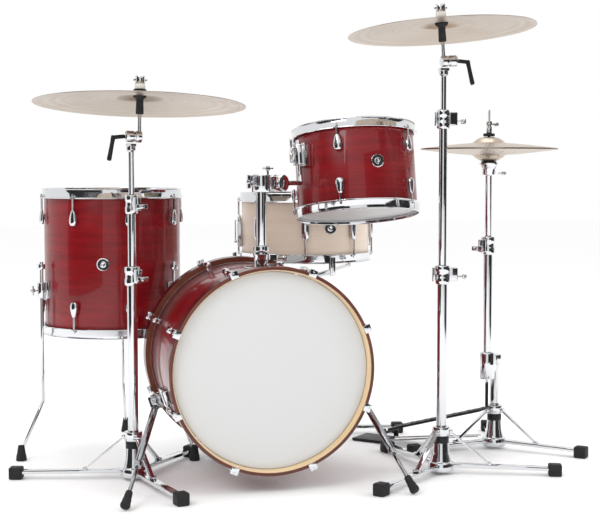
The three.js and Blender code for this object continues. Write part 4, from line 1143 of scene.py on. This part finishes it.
footboard("hi_hat_tread_plate", "hi_hat_pedal", "black", "hi_hat_footboard", heel_frame, run, rise_, 76, 12)
heel_pad = moved(casting("heel_pad", (8, 84, 92), 0.94, 2), at(-56, 0, 5.4 - heel.z / MM) @ turn(-90, "Y"))
cheeks = [moved(casting("cheek", (15, 5.6, 33), 0.86, 1.4), at(-4, side * 36, -6)) for side in (-1, 1)]
axle = moved(turned("axle", [(4, -38), (4, 38)], 20), turn(90, "X"))
heel_set = joined("hi_hat_heel_set", [heel_pad, *cheeks, axle])
placed(heel_set, heel_frame, black_coat, "kit", "black", "hi_hat_heel_plate")
column_foot = hub.translation
radius_rods = []
for side in (-1, 1):
    near = heel_frame @ Vector((-0.004, side * 0.028, 0.008 - heel.z))
    sideways = heel_frame.to_3x3() @ Vector((0, side * 0.008, 0))
    far = Vector((column_foot.x, column_foot.y, 0.036)) + sideways
    radius_rods.append(stick_between("rod", near, far.lerp(near, 40 * MM / (far - near).length), 2.4, 16))
rods = joined("hi_hat_radius_rods", radius_rods)
fit(painted(rods, chrome), "kit", "chrome")

# ---- Bass drum pedal --------------------------------------------------------------------------------------
# Two posts carry an axle with the chain wheel and the beater. The footboard hinges at the heel plate, and
# a clamp under the toe grips the bass drum's rear hoop.
kick_heel, kick_axle = joint_place("kick_pedal_press"), joint_place("kick_beater_swing")
kick = Matrix.Translation((kick_axle.x, kick_axle.y, 0)) @ turn(90)
axle_height = kick_axle.z / MM
heel_back = (kick_heel.y - kick_axle.y) / MM
posts = []
for side in (-1, 1):
    posts.append(moved(casting("post", (19, 11.6, axle_height - 20), 0.8, 2),
                       at(0, side * 46, axle_height / 2 - 6)))
    bearing = rounded(turned("bearing", [(6.5, -6), (13, -6), (14, -5), (14, 5), (13, 6), (6.5, 6)], 32,
                             hollow=True), 0.5)
    posts.append(moved(bearing, at(0, side * 46, axle_height) @ turn(90, "X")))
posts.append(moved(casting("sill", (14, 102, 19.6), 0.9, 1.6), at(0, 0, 7) @ turn(-90, "Y")))
posts.append(moved(casting("bed", (4.8, 58, heel_back), 0.96, 1), at(heel_back / 2, 0, 2.6) @ turn(-90, "Y")))
posts.append(moved(casting("heel_plate", (5.8, 77, 78), 0.94, 1), at(heel_back + 12, 0, 3) @ turn(-90, "Y")))
hoop_low = bass.translation.z / MM - BASS["hoop"]
posts.append(moved(casting("jaw", (7.6, 39, 64), 0.9, 1.6), at(-34, 0, hoop_low - 8) @ turn(-90, "Y")))
posts.append(moved(casting("riser", (11, 39, 29), 0.9, 1.6), at(-10, 0, hoop_low - 18)))
pedal_frame = joined("kick_pedal_casting", posts)
placed(pedal_frame, kick, steel, "kit", "steel", "kick_pedal_frame")
board_frame = Matrix.Translation((kick_heel.x, kick_heel.y, 0.029)) @ turn(-90)
footboard("kick_tread_plate", "kick_footboard", "black", "kick_pedal_footboard", board_frame,
          (heel_back - 14) * MM, 0.080, 72, 11)
BEATER_LEAN, BEATER_REACH = 38, 150
lean = math.radians(BEATER_LEAN)
tip = kick_axle + Vector((0, math.sin(lean), math.cos(lean))) * BEATER_REACH * MM
axle_bar = moved(turned("axle_bar", [(5.2, -53), (5.9, -52), (5.9, 52), (5.2, 53)], 24),
                 Matrix.Translation(kick_axle) @ turn(90, "Y"))
wheel = moved(rounded(turned("wheel", [(18, -13), (21.6, -12), (21.6, -8), (18, -7), (18, 7), (21.6, 8),
                                       (21.6, 12), (18, 13)], 36), 0.4),
              Matrix.Translation(kick_axle) @ turn(90, "Y"))
shaft = stick_between("shaft", kick_axle, tip, 3.9, 20)
swing = joined("kick_axle_and_shaft", [axle_bar, wheel, shaft])
fit(painted(swing, steel), "kick_beater", "steel", "kick_pedal_beater")
felt_head = rounded(turned("felt_head", [(16, -17.5), (21, -16.5), (22.8, -12), (22.8, 12), (21, 16.5),
                                         (16, 17.5)], 40), 0.8)
placed(felt_head, Matrix.Translation(tip) @ turn(90, "Y"), felt_pale, "kick_beater", "drum_head")
felt_head.name = "kick_beater_felt"
